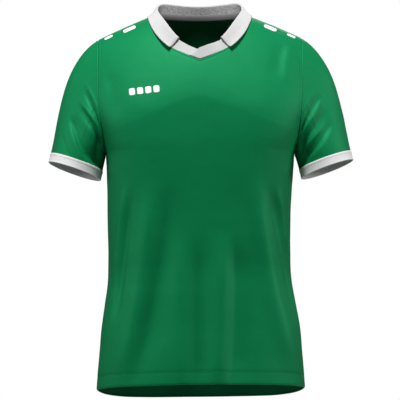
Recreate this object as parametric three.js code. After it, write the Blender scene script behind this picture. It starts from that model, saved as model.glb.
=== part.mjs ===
// A short-sleeved football jersey in the hollow form that it keeps when it is worn: front and back panels,
// two set-in sleeves with white cuffs, a white neck band lapped at the centre front, a turned-down collar
// and a tape over the back neck seam. Every piece is a thin wall of cloth.
// Millimetres. +Z is up, the chest faces -Y and the wearer's left arm is at +X. The origin lies midway
// between the two neck ends of the shoulder seams, 7 mm below them, where the shoulders carry the jersey.
import * as THREE from "three";

const { clamp, degToRad, lerp } = THREE.MathUtils;

// Cloth
const CLOTH = 1.5; // wall of the panels and sleeves
const TRIM = 2; // doubled white cloth of the cuffs, neck band and collar
const TAPE = 1; // neck tape
const SEAM_GAP = 0.3; // between two pieces at their seam
const LONGEST_MITRE = 1.7; // a wall's end on a sharp seam, as a share of its thickness

// Cut of the body
const NECK_POINT = { x: 93, z: 7 }; // where the shoulder seam meets the neckline
const SHOULDER_POINT = { x: 204, z: -41.5 }; // where the shoulder seam meets the sleeve
const SHOULDER_BOW = 1.2; // rise of the shoulder line between its ends
const NAPE_ROUNDING = 26; // radius of the ridge above the nape, where the neckline cuts it away
const UNDERARM_Z = -274;
const SIDE_SEAM_Y = 4;
const ARMHOLE_SCOOP = { height: 110, power: 2.2 };
const YOKE_Z = UNDERARM_Z + ARMHOLE_SCOOP.height; // above this the rows rise to the shoulder and neck
const SIDES = {
  front: { sign: -1, depth: "front", armholeY: 78, ridge: { height: 210, power: 1.5 } },
  back: { sign: 1, depth: "back", armholeY: 84, ridge: { height: 165, power: 1.5 } },
};
// Level sections of the body: half the width, its shift to the wearer's left, how far the front and back
// stand from the shoulder ridge, and the power of the superellipse that rounds each side.
const TORSO = [
  { z: 60, half: 204, shift: 0, front: 116, back: 92, power: 2.7 },
  { z: -43, half: 204, shift: 0, front: 118, back: 98, power: 2.75 },
  { z: -100, half: 204, shift: 0, front: 121, back: 104, power: 2.8 },
  { z: -150, half: 204, shift: 0, front: 124, back: 108, power: 2.9 },
  { z: -185, half: 202, shift: 0, front: 126, back: 109, power: 3 },
  { z: -215, half: 198, shift: 0, front: 126.5, back: 109, power: 3.1 },
  { z: -245, half: 193.5, shift: 0, front: 126, back: 108.5, power: 3.2 },
  { z: -264, half: 190.5, shift: -1, front: 125, back: 108, power: 3.2 },
  { z: -276, half: 188.5, shift: -1.4, front: 124, back: 107.5, power: 3.15 },
  { z: -300, half: 187, shift: -2, front: 122, back: 106.5, power: 3 },
  { z: -345, half: 184.5, shift: -3.2, front: 118, back: 104, power: 2.75 },
  { z: -400, half: 182.5, shift: -4.4, front: 113.5, back: 101, power: 2.55 },
  { z: -500, half: 182, shift: -4.6, front: 109, back: 99.5, power: 2.4 },
  { z: -533, half: 184, shift: -4.2, front: 109, back: 101, power: 2.4 },
  { z: -565, half: 189, shift: -3.6, front: 110, back: 103, power: 2.4 },
  { z: -600, half: 194.5, shift: -3, front: 111, back: 106, power: 2.4 },
  { z: -632, half: 199, shift: -2.8, front: 112, back: 108, power: 2.4 },
  { z: -662, half: 201.5, shift: -3, front: 114, back: 111, power: 2.4 },
  { z: -695, half: 204, shift: -3.4, front: 116, back: 113, power: 2.4 },
  { z: -752, half: 208, shift: -3.6, front: 119, back: 117, power: 2.4 },
];
const HEM_Z = -745;
const HEM_TILT = 0.004; // rise of the hem per millimetre to the wearer's left
const HEM_DROP = [
  // How far the hem lies below HEM_Z, by the share of the half row from the centre to the side seam.
  { share: 0, front: -7, back: 8.4 },
  { share: 0.55, front: -5.4, back: 8 },
  { share: 0.7, front: -4.6, back: 5.6 },
  { share: 0.8, front: -4, back: 2.8 },
  { share: 0.9, front: -3.5, back: -0.6 },
  { share: 1, front: -3, back: -3.4 },
];

// Neckline and collar, from the centre front to the centre back on one side. The seam joins the neck band
// to the body, the fold is the band's top edge and the edge is the collar's lower one. A place is x, z on
// that side of the body, or x, y, z in the air.
const NECK = [
  { side: "front", seam: [0, -92.8], fold: [0, -73.3] },
  { side: "front", seam: [19, -85.2], fold: [12.2, -68] },
  { side: "front", seam: [37.5, -77], fold: [27.4, -61.2] },
  { side: "front", seam: [54, -68.2], fold: [43, -52], edge: [60, -70] },
  { side: "front", seam: [67, -54.8], fold: [54.8, -38.5], edge: [73.5, -56.5] },
  { side: "front", seam: [78, -38.3], fold: [65.4, -22.3], edge: [86, -40.3] },
  { side: "front", seam: [85.5, -21.8], fold: [75.2, -41, -5.8], edge: [94.5, -25] },
  { side: "front", seam: [90, -8.3], fold: [81, -26, 4.2], edge: [100, -12.3] },
  { side: "front", seam: [92.5, 0.4], fold: [84.3, -12, 12.3], edge: [102, -4.6] },
  { side: "front", seam: [93, 7], fold: [85.8, 0, 19.4], edge: [103.3, 3.4] },
  { side: "back", seam: [91.5, 6.5], fold: [84.3, 9, 25.2], edge: [102.5, -3] },
  { side: "back", seam: [86.5, 5.9], fold: [80, 17, 29], edge: [99, -6] },
  { side: "back", seam: [80, 5.4], fold: [74.5, 23, 31], edge: [93.5, -8.5] },
  { side: "back", seam: [71, 5], fold: [66.5, 29, 31.6], edge: [84, -10] },
  { side: "back", seam: [59, 4.7], fold: [55.5, 34.5, 31], edge: [71, -10.9] },
  { side: "back", seam: [45, 4.4], fold: [42, 39, 30], edge: [55, -11] },
  { side: "back", seam: [30, 4.2], fold: [28, 43, 29], edge: [37, -11] },
  { side: "back", seam: [15, 4.1], fold: [14, 45, 28.3], edge: [18.5, -11] },
  { side: "back", seam: [0, 4], fold: [0, 45.8, 28.1], edge: [0, -11] },
];
const NECK_POINT_ROW = 9;
const LEAF_FIRST_ROW = 3; // the collar's square end lies beside this row
const LEAF = { foot: 0.8, roll: 0.6, rollSteps: 4, bodySteps: 3, lift: 3.1, seamLift: 4.2 };
const LEAF_SHOULDER = { lift: 1.3, reach: 45 }; // it stands off more where it crosses the shoulder ridge
const LAP = { lift: TRIM + SEAM_GAP, beside: 0.5, end: 1.2 }; // the wearer's left end lies on the other
const NECK_TAPE = { firstRow: NECK_POINT_ROW + 3, below: 0.8, above: 10, clearance: 0.45 };

// Sleeve and cuff of the wearer's left arm
const CUFF = {
  centre: new THREE.Vector3(252.9, 0, -305.4),
  halfAcross: 54.9,
  halfDeep: 66,
  tilt: degToRad(19.4), // outer end above the inner end
  pitch: degToRad(1.2), // front edge above the back edge
  armLean: degToRad(14),
  height: 17,
};
// How a sleeve leaves the armhole and reaches the cuff, by the share of the armhole from shoulder to
// underarm: how closely it follows the body's surface, and the length of its start and end tangents as
// shares of the way between them.
const SLEEVE_FLOW = [
  { share: 0, follow: 0.88, start: 1.04, end: 0.74, spread: 0 },
  { share: 0.3, follow: 0.86, start: 0.96, end: 0.72, spread: 0 },
  { share: 0.55, follow: 0.65, start: 0.85, end: 0.7, spread: 0 },
  { share: 0.8, follow: 0.3, start: 0.8, end: 0.7, spread: 0.06 },
  { share: 1, follow: 0, start: 0.9, end: 0.6, spread: 0.1 },
];

// Folds. A ridge has a positive rise and a trough a negative one. On the body, across is the way round
// from the centre front (front) or centre back (back) in millimetres, positive to the wearer's left.
const BODY_FOLDS = [
  { side: "front", from: [-100, -320], via: [-104, -540], to: [-178, -770], wide: 19, wideEnd: 28, rise: 8 },
  { side: "front", from: [-64, -330], via: [-70, -540], to: [-140, -760], wide: 20, wideEnd: 27, rise: -6.6 },
  { side: "front", from: [-38, -430], via: [-42, -600], to: [-40, -790], wide: 20, wideEnd: 27, rise: 5.5 },
  { side: "front", from: [-8, -440], via: [-6, -600], to: [-4, -790], wide: 19, wideEnd: 22, rise: -6 },
  { side: "front", from: [42, -430], via: [42, -600], to: [26, -790], wide: 19, wideEnd: 21, rise: 6 },
  { side: "front", from: [76, -440], via: [80, -600], to: [66, -770], wide: 20, wideEnd: 26, rise: -7 },
  { side: "front", from: [108, -310], via: [122, -540], to: [200, -750], wide: 19, wideEnd: 26, rise: 8 },
  { side: "front", from: [140, -335], via: [160, -450], to: [190, -610], wide: 18, wideEnd: 20, rise: -5 },
  { side: "back", from: [-120, -300], via: [-126, -500], to: [-160, -780], wide: 20, wideEnd: 32, rise: 7 },
  { side: "back", from: [-76, -300], via: [-84, -500], to: [-104, -780], wide: 19, wideEnd: 26, rise: -6.4 },
  { side: "back", from: [-24, -360], via: [-30, -560], to: [-40, -790], wide: 20, wideEnd: 27, rise: 5 },
  { side: "back", from: [16, -380], via: [18, -560], to: [16, -790], wide: 19, wideEnd: 26, rise: -5.4 },
  { side: "back", from: [64, -320], via: [70, -520], to: [84, -790], wide: 19, wideEnd: 28, rise: 6.4 },
  { side: "back", from: [112, -300], via: [122, -500], to: [146, -780], wide: 19, wideEnd: 24, rise: -6 },
];
// On a sleeve, round is the share of the armhole from the shoulder to the underarm, negative behind, and
// down is the share of the way from the armhole to the cuff. Widths are shares too.
const SLEEVE_FOLDS = [
  { from: [0.2, 0.56], via: [0.5, 0.66], to: [0.78, 0.9], wide: 0.11, wideEnd: 0.1, rise: -6 },
  { from: [0.18, 0.4], via: [0.54, 0.42], to: [0.86, 0.16], wide: 0.075, wideEnd: 0.075, rise: -3.6 },
  { from: [0.7, 0.15], via: [0.86, 0.5], to: [0.86, 1.04], wide: 0.09, wideEnd: 0.085, rise: -6 },
  { from: [-0.3, 0.3], via: [-0.45, 0.6], to: [-0.6, 1.02], wide: 0.075, wideEnd: 0.085, rise: -3.8 },
  { from: [-0.4, 0.2], via: [-0.6, 0.42], to: [-0.76, 0.8], wide: 0.075, wideEnd: 0.085, rise: 3.8 },
  { from: [-0.7, 0.15], via: [-0.86, 0.5], to: [-0.86, 1.04], wide: 0.085, wideEnd: 0.085, rise: -4 },
];
const FOLD_FADE = 0.28; // share of a fold's length over which it grows and dies away
const SEAM_CALM = 16; // folds die away this near a neckline, shoulder or armhole seam

// How finely each surface is divided
const HALF_COLUMNS = 17; // the first NECK_POINT_ROW of them end on the neckline
const SKIRT_ROWS = 15; // hem to underarm
const SCOOP_ROWS = 9; // underarm to yoke
const YOKE_ROWS = 8; // yoke to shoulder
const SLEEVE_ROWS = 14;
const ROW_TRIALS = 160; // points along a row before it is divided evenly

function hermite(a, b, leave, arrive, t) {
  const t2 = t * t;
  const t3 = t2 * t;
  return (2 * t3 - 3 * t2 + 1) * a + (t3 - 2 * t2 + t) * leave + (3 * t2 - 2 * t3) * b + (t3 - t2) * arrive;
}

// The value of a table's column at a place between its rows, on one smooth curve.
function smooth(table, key, column, at) {
  const last = table.length - 1;
  const rising = table[last][key] > table[0][key];
  let i = 0;
  while (i < last - 1 && (rising ? at > table[i + 1][key] : at < table[i + 1][key])) i++;
  const slope = (row) => {
    const before = table[Math.max(row - 1, 0)];
    const after = table[Math.min(row + 1, last)];
    return (after[column] - before[column]) / (after[key] - before[key]);
  };
  const span = table[i + 1][key] - table[i][key];
  const t = clamp((at - table[i][key]) / span, 0, 1);
  return hermite(table[i][column], table[i + 1][column], slope(i) * span, slope(i + 1) * span, t);
}

function superellipse(share, power) {
  return (1 - clamp(share, 0, 1) ** power) ** (1 / power);
}

// Height of the shoulder ridge above the frontal point x. Between the neck points it is rounded over.
function ridgeZ(x) {
  const slope = (NECK_POINT.z - SHOULDER_POINT.z) / (SHOULDER_POINT.x - NECK_POINT.x);
  if (Math.abs(x) < NECK_POINT.x) {
    return NECK_POINT.z + slope * (Math.hypot(NECK_POINT.x, NAPE_ROUNDING) - Math.hypot(x, NAPE_ROUNDING));
  }
  const share = (Math.abs(x) - NECK_POINT.x) / (SHOULDER_POINT.x - NECK_POINT.x);
  return lerp(NECK_POINT.z, SHOULDER_POINT.z, share) + 4 * share * (1 - share) * SHOULDER_BOW;
}

// The level section at z on one side of the garment, as if the shoulders had no slope.
function section(side, z) {
  const depth = smooth(TORSO, "z", side.depth, z);
  const half = z >= YOKE_Z ? SHOULDER_POINT.x : smooth(TORSO, "z", "half", z);
  const scooped = superellipse(1 - (z - UNDERARM_Z) / ARMHOLE_SCOOP.height, ARMHOLE_SCOOP.power);
  const reach = depth - side.sign * SIDE_SEAM_Y;
  const cut = z > UNDERARM_Z ? (scooped * (side.armholeY - side.sign * SIDE_SEAM_Y)) / reach : 0;
  const power = smooth(TORSO, "z", "power", z);
  return { half, fullHalf: half / superellipse(cut, power), reach, power, shift: smooth(TORSO, "z", "shift", z) };
}

// How far the cloth has come out from the shoulder ridge, from 0 on it to 1 well below.
function ridgeShare(side, x, z) {
  const fall = clamp((ridgeZ(x) - z) / side.ridge.height, 0, 1);
  return Math.sqrt(1 - (1 - fall) ** side.ridge.power);
}

// The point of the body's surface that is seen at x, z from that side.
function bodyPoint(side, x, z) {
  const at = section(side, z);
  const flat = SIDE_SEAM_Y + side.sign * at.reach * superellipse(Math.abs(x - at.shift) / at.fullHalf, at.power);
  return new THREE.Vector3(x, flat * ridgeShare(side, x, z), z);
}

function bodyNormal(side, x, z) {
  const step = 0.5;
  const along = bodyPoint(side, x + step, z).sub(bodyPoint(side, x - step, z));
  const up = bodyPoint(side, x, z + step).sub(bodyPoint(side, x, z - step));
  return up.cross(along).multiplyScalar(side.sign).normalize();
}

// Divides a line of trial points into equal lengths.
function divideEvenly(trials, parts) {
  const lengths = [0];
  for (let i = 1; i < trials.length; i++) lengths.push(lengths[i - 1] + trials[i].distanceTo(trials[i - 1]));
  const total = lengths[trials.length - 1];
  return Array.from({ length: parts + 1 }, (_, part) => {
    const at = (total * part) / parts;
    let i = 1;
    while (i < trials.length - 1 && lengths[i] < at) i++;
    const t = (at - lengths[i - 1]) / (lengths[i] - lengths[i - 1]);
    return trials[i - 1].clone().lerp(trials[i], clamp(t, 0, 1));
  });
}

function pathLength(points) {
  return points.slice(1).reduce((sum, p, i) => sum + p.distanceTo(points[i]), 0);
}

// One level half row from the centre to the side seam or armhole, on the wearer's left or right.
function levelRow(side, z, hand) {
  const at = section(side, z);
  const lastSine = (at.half / at.fullHalf) ** (at.power / 2);
  const trials = Array.from({ length: ROW_TRIALS + 1 }, (_, i) => {
    const sine = Math.sin((Math.asin(Math.min(lastSine, 1)) * i) / ROW_TRIALS);
    const offset = i === ROW_TRIALS ? at.half : at.fullHalf * sine ** (2 / at.power);
    return bodyPoint(side, at.shift + hand * offset, z);
  });
  return divideEvenly(trials, HALF_COLUMNS);
}

// The body panel's top edge on one hand: the neckline, then the shoulder seam.
function topEdge(side, hand) {
  const rows = side === SIDES.front ? NECK.slice(0, NECK_POINT_ROW + 1) : NECK.slice(NECK_POINT_ROW).reverse();
  const neck = rows.map(({ seam: [x, z] }) => new THREE.Vector3(hand * x, 0, z));
  const columns = HALF_COLUMNS - NECK_POINT_ROW;
  const seam = Array.from({ length: columns }, (_, i) => {
    const x = lerp(NECK_POINT.x, SHOULDER_POINT.x, (i + 1) / columns);
    return new THREE.Vector3(hand * x, 0, ridgeZ(x));
  });
  return [...neck, ...seam];
}

// A panel's grid: rows from the hem to the top edge, each a list of points from the wearer's right to left.
function bodyGrid(side) {
  const rows = [];
  for (let r = 0; r < SKIRT_ROWS; r++) {
    const share = (r / SKIRT_ROWS) ** 1.04;
    rows.push(fullRow(side, lerp(HEM_Z, UNDERARM_Z, share), 1 - r / SKIRT_ROWS));
  }
  for (let r = 0; r < SCOOP_ROWS; r++) {
    // Even at the centre, and by even steps along the armhole's curve at its edge.
    const curve = 1 - Math.cos((Math.PI / 2) * (r / SCOOP_ROWS)) ** (2 / ARMHOLE_SCOOP.power);
    const edge = fullRow(side, lerp(UNDERARM_Z, YOKE_Z, curve), 0);
    const middle = lerp(UNDERARM_Z, YOKE_Z, r / SCOOP_ROWS);
    rows.push(
      edge.map((p, c) => {
        const share = Math.abs(c / HALF_COLUMNS - 1) ** 1.5;
        const at = bodyPoint(side, p.x, lerp(middle, p.z, share));
        at.across = p.across;
        return at;
      }),
    );
  }
  const base = fullRow(side, YOKE_Z, 0);
  const top = [...topEdge(side, -1).reverse(), ...topEdge(side, 1).slice(1)];
  for (let r = 0; r <= YOKE_ROWS; r++) {
    const rise = 1 - (1 - r / YOKE_ROWS) ** 1.6;
    rows.push(
      base.map((p, c) => {
        const x = lerp(p.x, top[c].x, rise);
        const z = lerp(p.z, top[c].z, rise);
        const at = bodyPoint(side, x, z);
        at.across = p.across;
        return at;
      }),
    );
  }
  return rows;
}

function fullRow(side, z, hemShare) {
  const halves = [-1, 1].map((hand) => {
    const points = levelRow(side, z, hand);
    const length = pathLength(points);
    points.forEach((p, c) => {
      const share = c / HALF_COLUMNS;
      p.across = hand * length * share;
      p.z += (p.x * HEM_TILT - smooth(HEM_DROP, "share", side.depth, share)) * hemShare ** 3;
    });
    return points;
  });
  return [...halves[0].reverse(), ...halves[1].slice(1)];
}

// The closed armhole on one hand, from the shoulder down the front to the underarm and up the back.
function armhole(grids, hand) {
  const column = hand > 0 ? 2 * HALF_COLUMNS : 0;
  const inner = column - hand;
  const pick = (side) =>
    grids[side].slice(SKIRT_ROWS).map((row) => ({
      at: row[column],
      out: row[column].clone().sub(row[inner]).normalize(),
    }));
  const front = pick("front").reverse();
  const back = pick("back");
  const withShare = (points, sign) => {
    const line = points.map((p) => p.at);
    const total = pathLength(line);
    return points.map((p, i) => ({ ...p, share: (sign * pathLength(line.slice(0, i + 1))) / total }));
  };
  const behind = withShare([...back].reverse(), -1).reverse();
  return [...withShare(front, 1), ...behind.slice(1, -1)];
}

// The cuff's ring at a distance above its lower edge.
function cuffPoint(hand, share, above) {
  const turn = Math.PI * share;
  const across = CUFF.halfAcross * Math.cos(turn);
  const forward = CUFF.halfDeep * Math.sin(turn);
  const p = new THREE.Vector3(
    CUFF.centre.x + across * Math.cos(CUFF.tilt) - above * Math.sin(CUFF.armLean),
    CUFF.centre.y - forward * Math.cos(CUFF.pitch),
    CUFF.centre.z + across * Math.sin(CUFF.tilt) + forward * Math.sin(CUFF.pitch) + above * Math.cos(CUFF.armLean),
  );
  p.x *= hand;
  return p;
}

// A sleeve's grid: rings from the armhole to the cuff seam, each a closed list of points.
function sleeveGrid(ring, hand) {
  const arm = new THREE.Vector3(hand * Math.sin(CUFF.armLean), 0, -Math.cos(CUFF.armLean));
  const count = ring.length;
  const lines = ring.map(({ at, out, share }, i) => {
    const end = cuffPoint(hand, share, CUFF.height);
    const way = end.clone().sub(at);
    const length = way.length();
    const flow = (column) => smooth(SLEEVE_FLOW, "share", column, Math.abs(share));
    const seam = ring[(i + 1) % count].at.clone().sub(ring[(i + count - 1) % count].at);
    const normal = new THREE.Vector3().crossVectors(out, seam).normalize();
    const inSurface = way.clone().addScaledVector(normal, -way.dot(normal)).normalize();
    const leave = way
      .clone()
      .normalize()
      .lerp(inSurface, flow("follow"))
      .add(new THREE.Vector3(hand * flow("spread"), 0, 0))
      .normalize()
      .multiplyScalar(length * flow("start"));
    const arrive = arm.clone().multiplyScalar(length * flow("end"));
    return { at, end, leave, arrive, share };
  });
  return Array.from({ length: SLEEVE_ROWS + 1 }, (_, r) => {
    const down = r / SLEEVE_ROWS;
    return lines.map(({ at, end, leave, arrive, share }) => {
      const p = new THREE.Vector3(
        ...["x", "y", "z"].map((axis) => hermite(at[axis], end[axis], leave[axis], arrive[axis], down)),
      );
      p.round = share;
      p.down = down;
      return p;
    });
  });
}

// How far a fold lifts the cloth at a place on its panel.
function foldRise(fold, u, v) {
  const steps = 14;
  let nearest = Infinity;
  let along = 0;
  for (let i = 0; i <= steps; i++) {
    const t = i / steps;
    const a = (1 - t) ** 2;
    const b = 2 * t * (1 - t);
    const c = t ** 2;
    const du = u - (a * fold.from[0] + b * fold.via[0] + c * fold.to[0]);
    const dv = v - (a * fold.from[1] + b * fold.via[1] + c * fold.to[1]);
    const far = Math.hypot(du, dv);
    if (far < nearest) {
      nearest = far;
      along = t;
    }
  }
  const wide = lerp(fold.wide, fold.wideEnd, along);
  const fade = Math.min(1, along / FOLD_FADE, (1 - along) / FOLD_FADE);
  return fold.rise * Math.exp(-((nearest / wide) ** 2)) * fade * fade * (3 - 2 * fade);
}

function bodyRise(name, p) {
  const calm = clamp((ridgeZ(p.x) - p.z) / (4 * SEAM_CALM), 0, 1);
  return calm * BODY_FOLDS.filter((f) => f.side === name).reduce((sum, f) => sum + foldRise(f, p.across, p.z), 0);
}

function sleeveRise(p) {
  const calm = Math.min(1, p.down / 0.2, (1 - p.down) / 0.12);
  return calm * SLEEVE_FOLDS.reduce((sum, f) => sum + foldRise(f, p.round, p.down), 0);
}

// A surface of quads, seen from outside. Rows of points, closed into rings or open, turned over if flip.
function surface(rows, { closed = false, flip = false } = {}) {
  const across = rows[0].length;
  const faces = [];
  for (let r = 0; r + 1 < rows.length; r++) {
    for (let c = 0; c < (closed ? across : across - 1); c++) {
      const d = (c + 1) % across;
      const quad = [r * across + c, r * across + d, (r + 1) * across + d, (r + 1) * across + c];
      faces.push(flip ? quad.reverse() : quad);
    }
  }
  return { points: rows.flat(), faces };
}

const placeKey = (p) => [p.x, p.y, p.z].map((v) => v.toFixed(3)).join();

// Normals at the points of surfaces that are sewn together, shared where the points meet.
function sharedNormals(surfaces) {
  const sums = new Map();
  for (const { points, faces } of surfaces) {
    for (const face of faces) {
      face.forEach((corner, i) => {
        const p = points[corner];
        const after = points[face[(i + 1) % 4]].clone().sub(p);
        const before = points[face[(i + 3) % 4]].clone().sub(p);
        const normal = after.clone().cross(before);
        if (normal.length() < 1e-9) return;
        normal.setLength(after.angleTo(before));
        const key = placeKey(p);
        if (sums.has(key)) sums.get(key).add(normal);
        else sums.set(key, normal);
      });
    }
  }
  return surfaces.map(({ points }) => points.map((p) => sums.get(placeKey(p)).clone().normalize()));
}

// A closed wall under a surface: its points drawn back from every edge by half the seam gap, a second
// layer one thickness inside, and a rim.
function wall({ points, faces }, normals, thickness) {
  const edges = new Map();
  for (const face of faces) {
    face.forEach((a, i) => edges.set(`${a},${face[(i + 1) % 4]}`, [a, face[(i + 1) % 4]]));
  }
  const rim = [...edges.values()].filter(([a, b]) => !edges.has(`${b},${a}`));
  const inward = new Map();
  for (const [a, b] of rim) {
    const way = points[b].clone().sub(points[a]).normalize();
    for (const corner of [a, b]) {
      const back = normals[corner].clone().cross(way).normalize();
      inward.set(corner, [...(inward.get(corner) ?? []), back]);
    }
  }
  const leans = points.map(() => []);
  for (const face of faces) {
    const [a, b, c, d] = face.map((corner) => points[corner]);
    const normal = c.clone().sub(a).cross(d.clone().sub(b)).normalize();
    for (const corner of face) leans[corner].push(normal.dot(normals[corner]));
  }
  const outer = points.map((p, i) => {
    const backs = inward.get(i);
    if (!backs) return p.clone();
    const mean = backs.reduce((sum, back) => sum.add(back), new THREE.Vector3()).normalize();
    return p.clone().addScaledVector(mean, SEAM_GAP / 2 / Math.max(mean.dot(backs[0]), 0.5));
  });
  const inner = outer.map((p, i) => {
    const mitre = Math.min(1 / Math.max(Math.min(...leans[i]), 0.1), LONGEST_MITRE);
    return p.clone().addScaledVector(normals[i], -thickness * mitre);
  });
  const count = points.length;
  const triangles = [];
  const addQuad = (a, b, c, d) => triangles.push(a, b, c, a, c, d);
  for (const [a, b, c, d] of faces) {
    const turned = points[b].distanceTo(points[d]) < points[a].distanceTo(points[c]);
    const [p, q, r, t] = turned ? [b, c, d, a] : [a, b, c, d];
    addQuad(p, q, r, t);
    addQuad(count + t, count + r, count + q, count + p);
  }
  for (const [a, b] of rim) {
    // Both walls of a seam split its rim along the same diagonal.
    if (placeKey(points[a]) < placeKey(points[b])) addQuad(b, a, count + a, count + b);
    else addQuad(a, count + a, count + b, b);
  }
  const geometry = new THREE.BufferGeometry();
  geometry.setAttribute("position", new THREE.Float32BufferAttribute([...outer, ...inner].flatMap((p) => p.toArray()), 3));
  geometry.setIndex(triangles);
  geometry.computeVertexNormals();
  return geometry;
}

// The neck on one hand, from the centre front to the centre back: the points of the seam and the fold, and
// the collar's way over the body from the seam to its edge.
function neckLines(hand) {
  const onBody = (side, [x, z], lift = 0) => {
    const at = bodyPoint(SIDES[side], hand * x, z);
    const normal = bodyNormal(SIDES[side], hand * x, Math.min(z, ridgeZ(x) - 1.5));
    const onRidge = clamp(1 - Math.abs(at.y) / LEAF_SHOULDER.reach, 0, 1);
    normal.y *= 1 - onRidge ** 3;
    return at.addScaledVector(normal.normalize(), lift && lift + LEAF_SHOULDER.lift * onRidge);
  };
  const seam = NECK.map((row) => onBody(row.side, row.seam));
  const fold = NECK.map(({ side, fold: at }) =>
    at.length === 2 ? onBody(side, at) : new THREE.Vector3(hand * at[0], at[1], at[2]),
  );
  const outwards = (line) =>
    line.map((_, i) => {
      const along = line[Math.min(i + 1, line.length - 1)].clone().sub(line[Math.max(i - 1, 0)]);
      return along.cross(fold[i].clone().sub(seam[i])).multiplyScalar(hand).normalize();
    });
  const [out, outAtSeam] = [outwards(fold), outwards(seam)];
  const onLeaf = NECK.map(({ side, seam: from, edge: to }, i) => {
    if (!to) return [];
    const steps = Array.from({ length: LEAF.bodySteps }, (_, s) => (s + 1) / LEAF.bodySteps);
    const normal = onBody(side, from, 1).sub(seam[i]).normalize();
    const overSeam = seam[i].clone().addScaledVector(normal.add(outAtSeam[i]).normalize(), LEAF.seamLift);
    return [
      overSeam,
      ...steps.map((t) => onBody(side, [lerp(from[0], to[0], t), lerp(from[1], to[1], t)], LEAF.lift)),
    ];
  });
  return { seam, fold, out, onLeaf };
}

// Both hands of the neck in one list, from the wearer's left centre front round the back to the right.
function bothHands(pick) {
  const left = pick(neckLines(1));
  const right = pick(neckLines(-1));
  return [...left, ...right.slice(0, -1).reverse()];
}

function neckBandGrid() {
  const seam = bothHands((lines) => lines.seam);
  const fold = bothHands((lines) => lines.fold);
  const last = seam.length - 1;
  const onChest = ([x, z], lift) =>
    bodyPoint(SIDES.front, x, z).addScaledVector(bodyNormal(SIDES.front, x, z), lift);
  const [tip, next] = NECK;
  // The wearer's left end runs on over the centre front and lies on the right end.
  seam[0] = onChest(tip.seam, LAP.lift);
  fold[0] = onChest(tip.fold, LAP.lift);
  seam[1] = onChest(next.seam, LAP.lift * LAP.beside);
  fold[1] = onChest(next.fold, LAP.lift * LAP.beside);
  seam.unshift(onChest([-next.seam[0], next.seam[1]], LAP.lift));
  fold.unshift(onChest([tip.fold[0] - LAP.end, tip.fold[1] - LAP.end / 2], LAP.lift));
  const steps = [0, 0.5, 1];
  return steps.map((t) => seam.map((p, i) => p.clone().lerp(fold[i], t)));
}

// The collar: from the band's top edge it rolls over to the outside and falls to its lower edge.
function collarGrid() {
  const pick = (key) => bothHands((lines) => lines[key].slice(LEAF_FIRST_ROW));
  const [seam, fold, out, onLeaf] = ["seam", "fold", "out", "onLeaf"].map(pick);
  const outerRoll = LEAF.roll + TRIM;
  const columns = fold.map((top, i) => {
    const up = top.clone().sub(seam[i]).normalize();
    const at = (rise, away) => top.clone().addScaledVector(up, rise).addScaledVector(out[i], away);
    const points = [at(SEAM_GAP, -TRIM)];
    for (let s = 0; s <= LEAF.rollSteps; s++) {
      const turn = (Math.PI * s) / LEAF.rollSteps;
      points.push(at(SEAM_GAP + LEAF.foot + outerRoll * Math.sin(turn), LEAF.roll - outerRoll * Math.cos(turn)));
    }
    const start = points[points.length - 1];
    points.push(start.clone().lerp(onLeaf[i][0], 0.5), ...onLeaf[i]);
    return points;
  });
  return columns[0].map((_, s) => columns.map((column) => column[s]));
}

// The neck tape lies inside the back neck seam, from one neck point to the other.
function neckTapeGrid() {
  const hands = [1, -1].map((hand) => {
    const { seam, fold } = neckLines(hand);
    return seam.slice(NECK_TAPE.firstRow).map((p, i) => {
      const [x, z] = NECK[NECK_TAPE.firstRow + i].seam;
      const top = fold[NECK_TAPE.firstRow + i];
      const above = p.clone().lerp(top, NECK_TAPE.above / p.distanceTo(top));
      const below = bodyPoint(SIDES.back, hand * x, z - NECK_TAPE.below);
      return [below, p, above];
    });
  });
  const columns = [...hands[0], ...hands[1].slice(0, -1).reverse()];
  return [0, 1, 2].map((r) => columns.map((column) => column[r]));
}

// Materials
const GREEN = 0x128a50;
const WHITE = 0xececec;
const GREY = 0xb9b9b9;
const cloth = (color, roughness) =>
  new THREE.MeshStandardMaterial({ color, roughness, metalness: 0, side: THREE.DoubleSide });

const jersey = new THREE.Group();
jersey.name = "football_jersey";

function addPiece(name, geometry, material) {
  const mesh = new THREE.Mesh(geometry, material);
  mesh.name = name;
  jersey.add(mesh);
}

// The sewn shell: body, sleeves, cuffs and neck band share their normals at the seams.
const grids = { front: bodyGrid(SIDES.front), back: bodyGrid(SIDES.back) };
const rings = { left: armhole(grids, 1), right: armhole(grids, -1) };
const sleeves = { left: sleeveGrid(rings.left, 1), right: sleeveGrid(rings.right, -1) };
const cuffRings = (hand, ring) =>
  [CUFF.height, CUFF.height / 2, 0].map((above) => ring.map(({ share }) => cuffPoint(hand, share, above)));

const shell = {
  front: { ...surface(grids.front), thickness: CLOTH, rise: (p) => bodyRise("front", p) },
  back: { ...surface(grids.back, { flip: true }), thickness: CLOTH, rise: (p) => bodyRise("back", p) },
  sleeve_left: { ...surface(sleeves.left, { closed: true }), thickness: CLOTH, rise: sleeveRise },
  sleeve_right: { ...surface(sleeves.right, { closed: true, flip: true }), thickness: CLOTH, rise: sleeveRise },
  cuff_left: { ...surface(cuffRings(1, rings.left), { closed: true }), thickness: TRIM },
  cuff_right: { ...surface(cuffRings(-1, rings.right), { closed: true, flip: true }), thickness: TRIM },
  neck_band: { ...surface(neckBandGrid()), thickness: TRIM },
};

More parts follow.
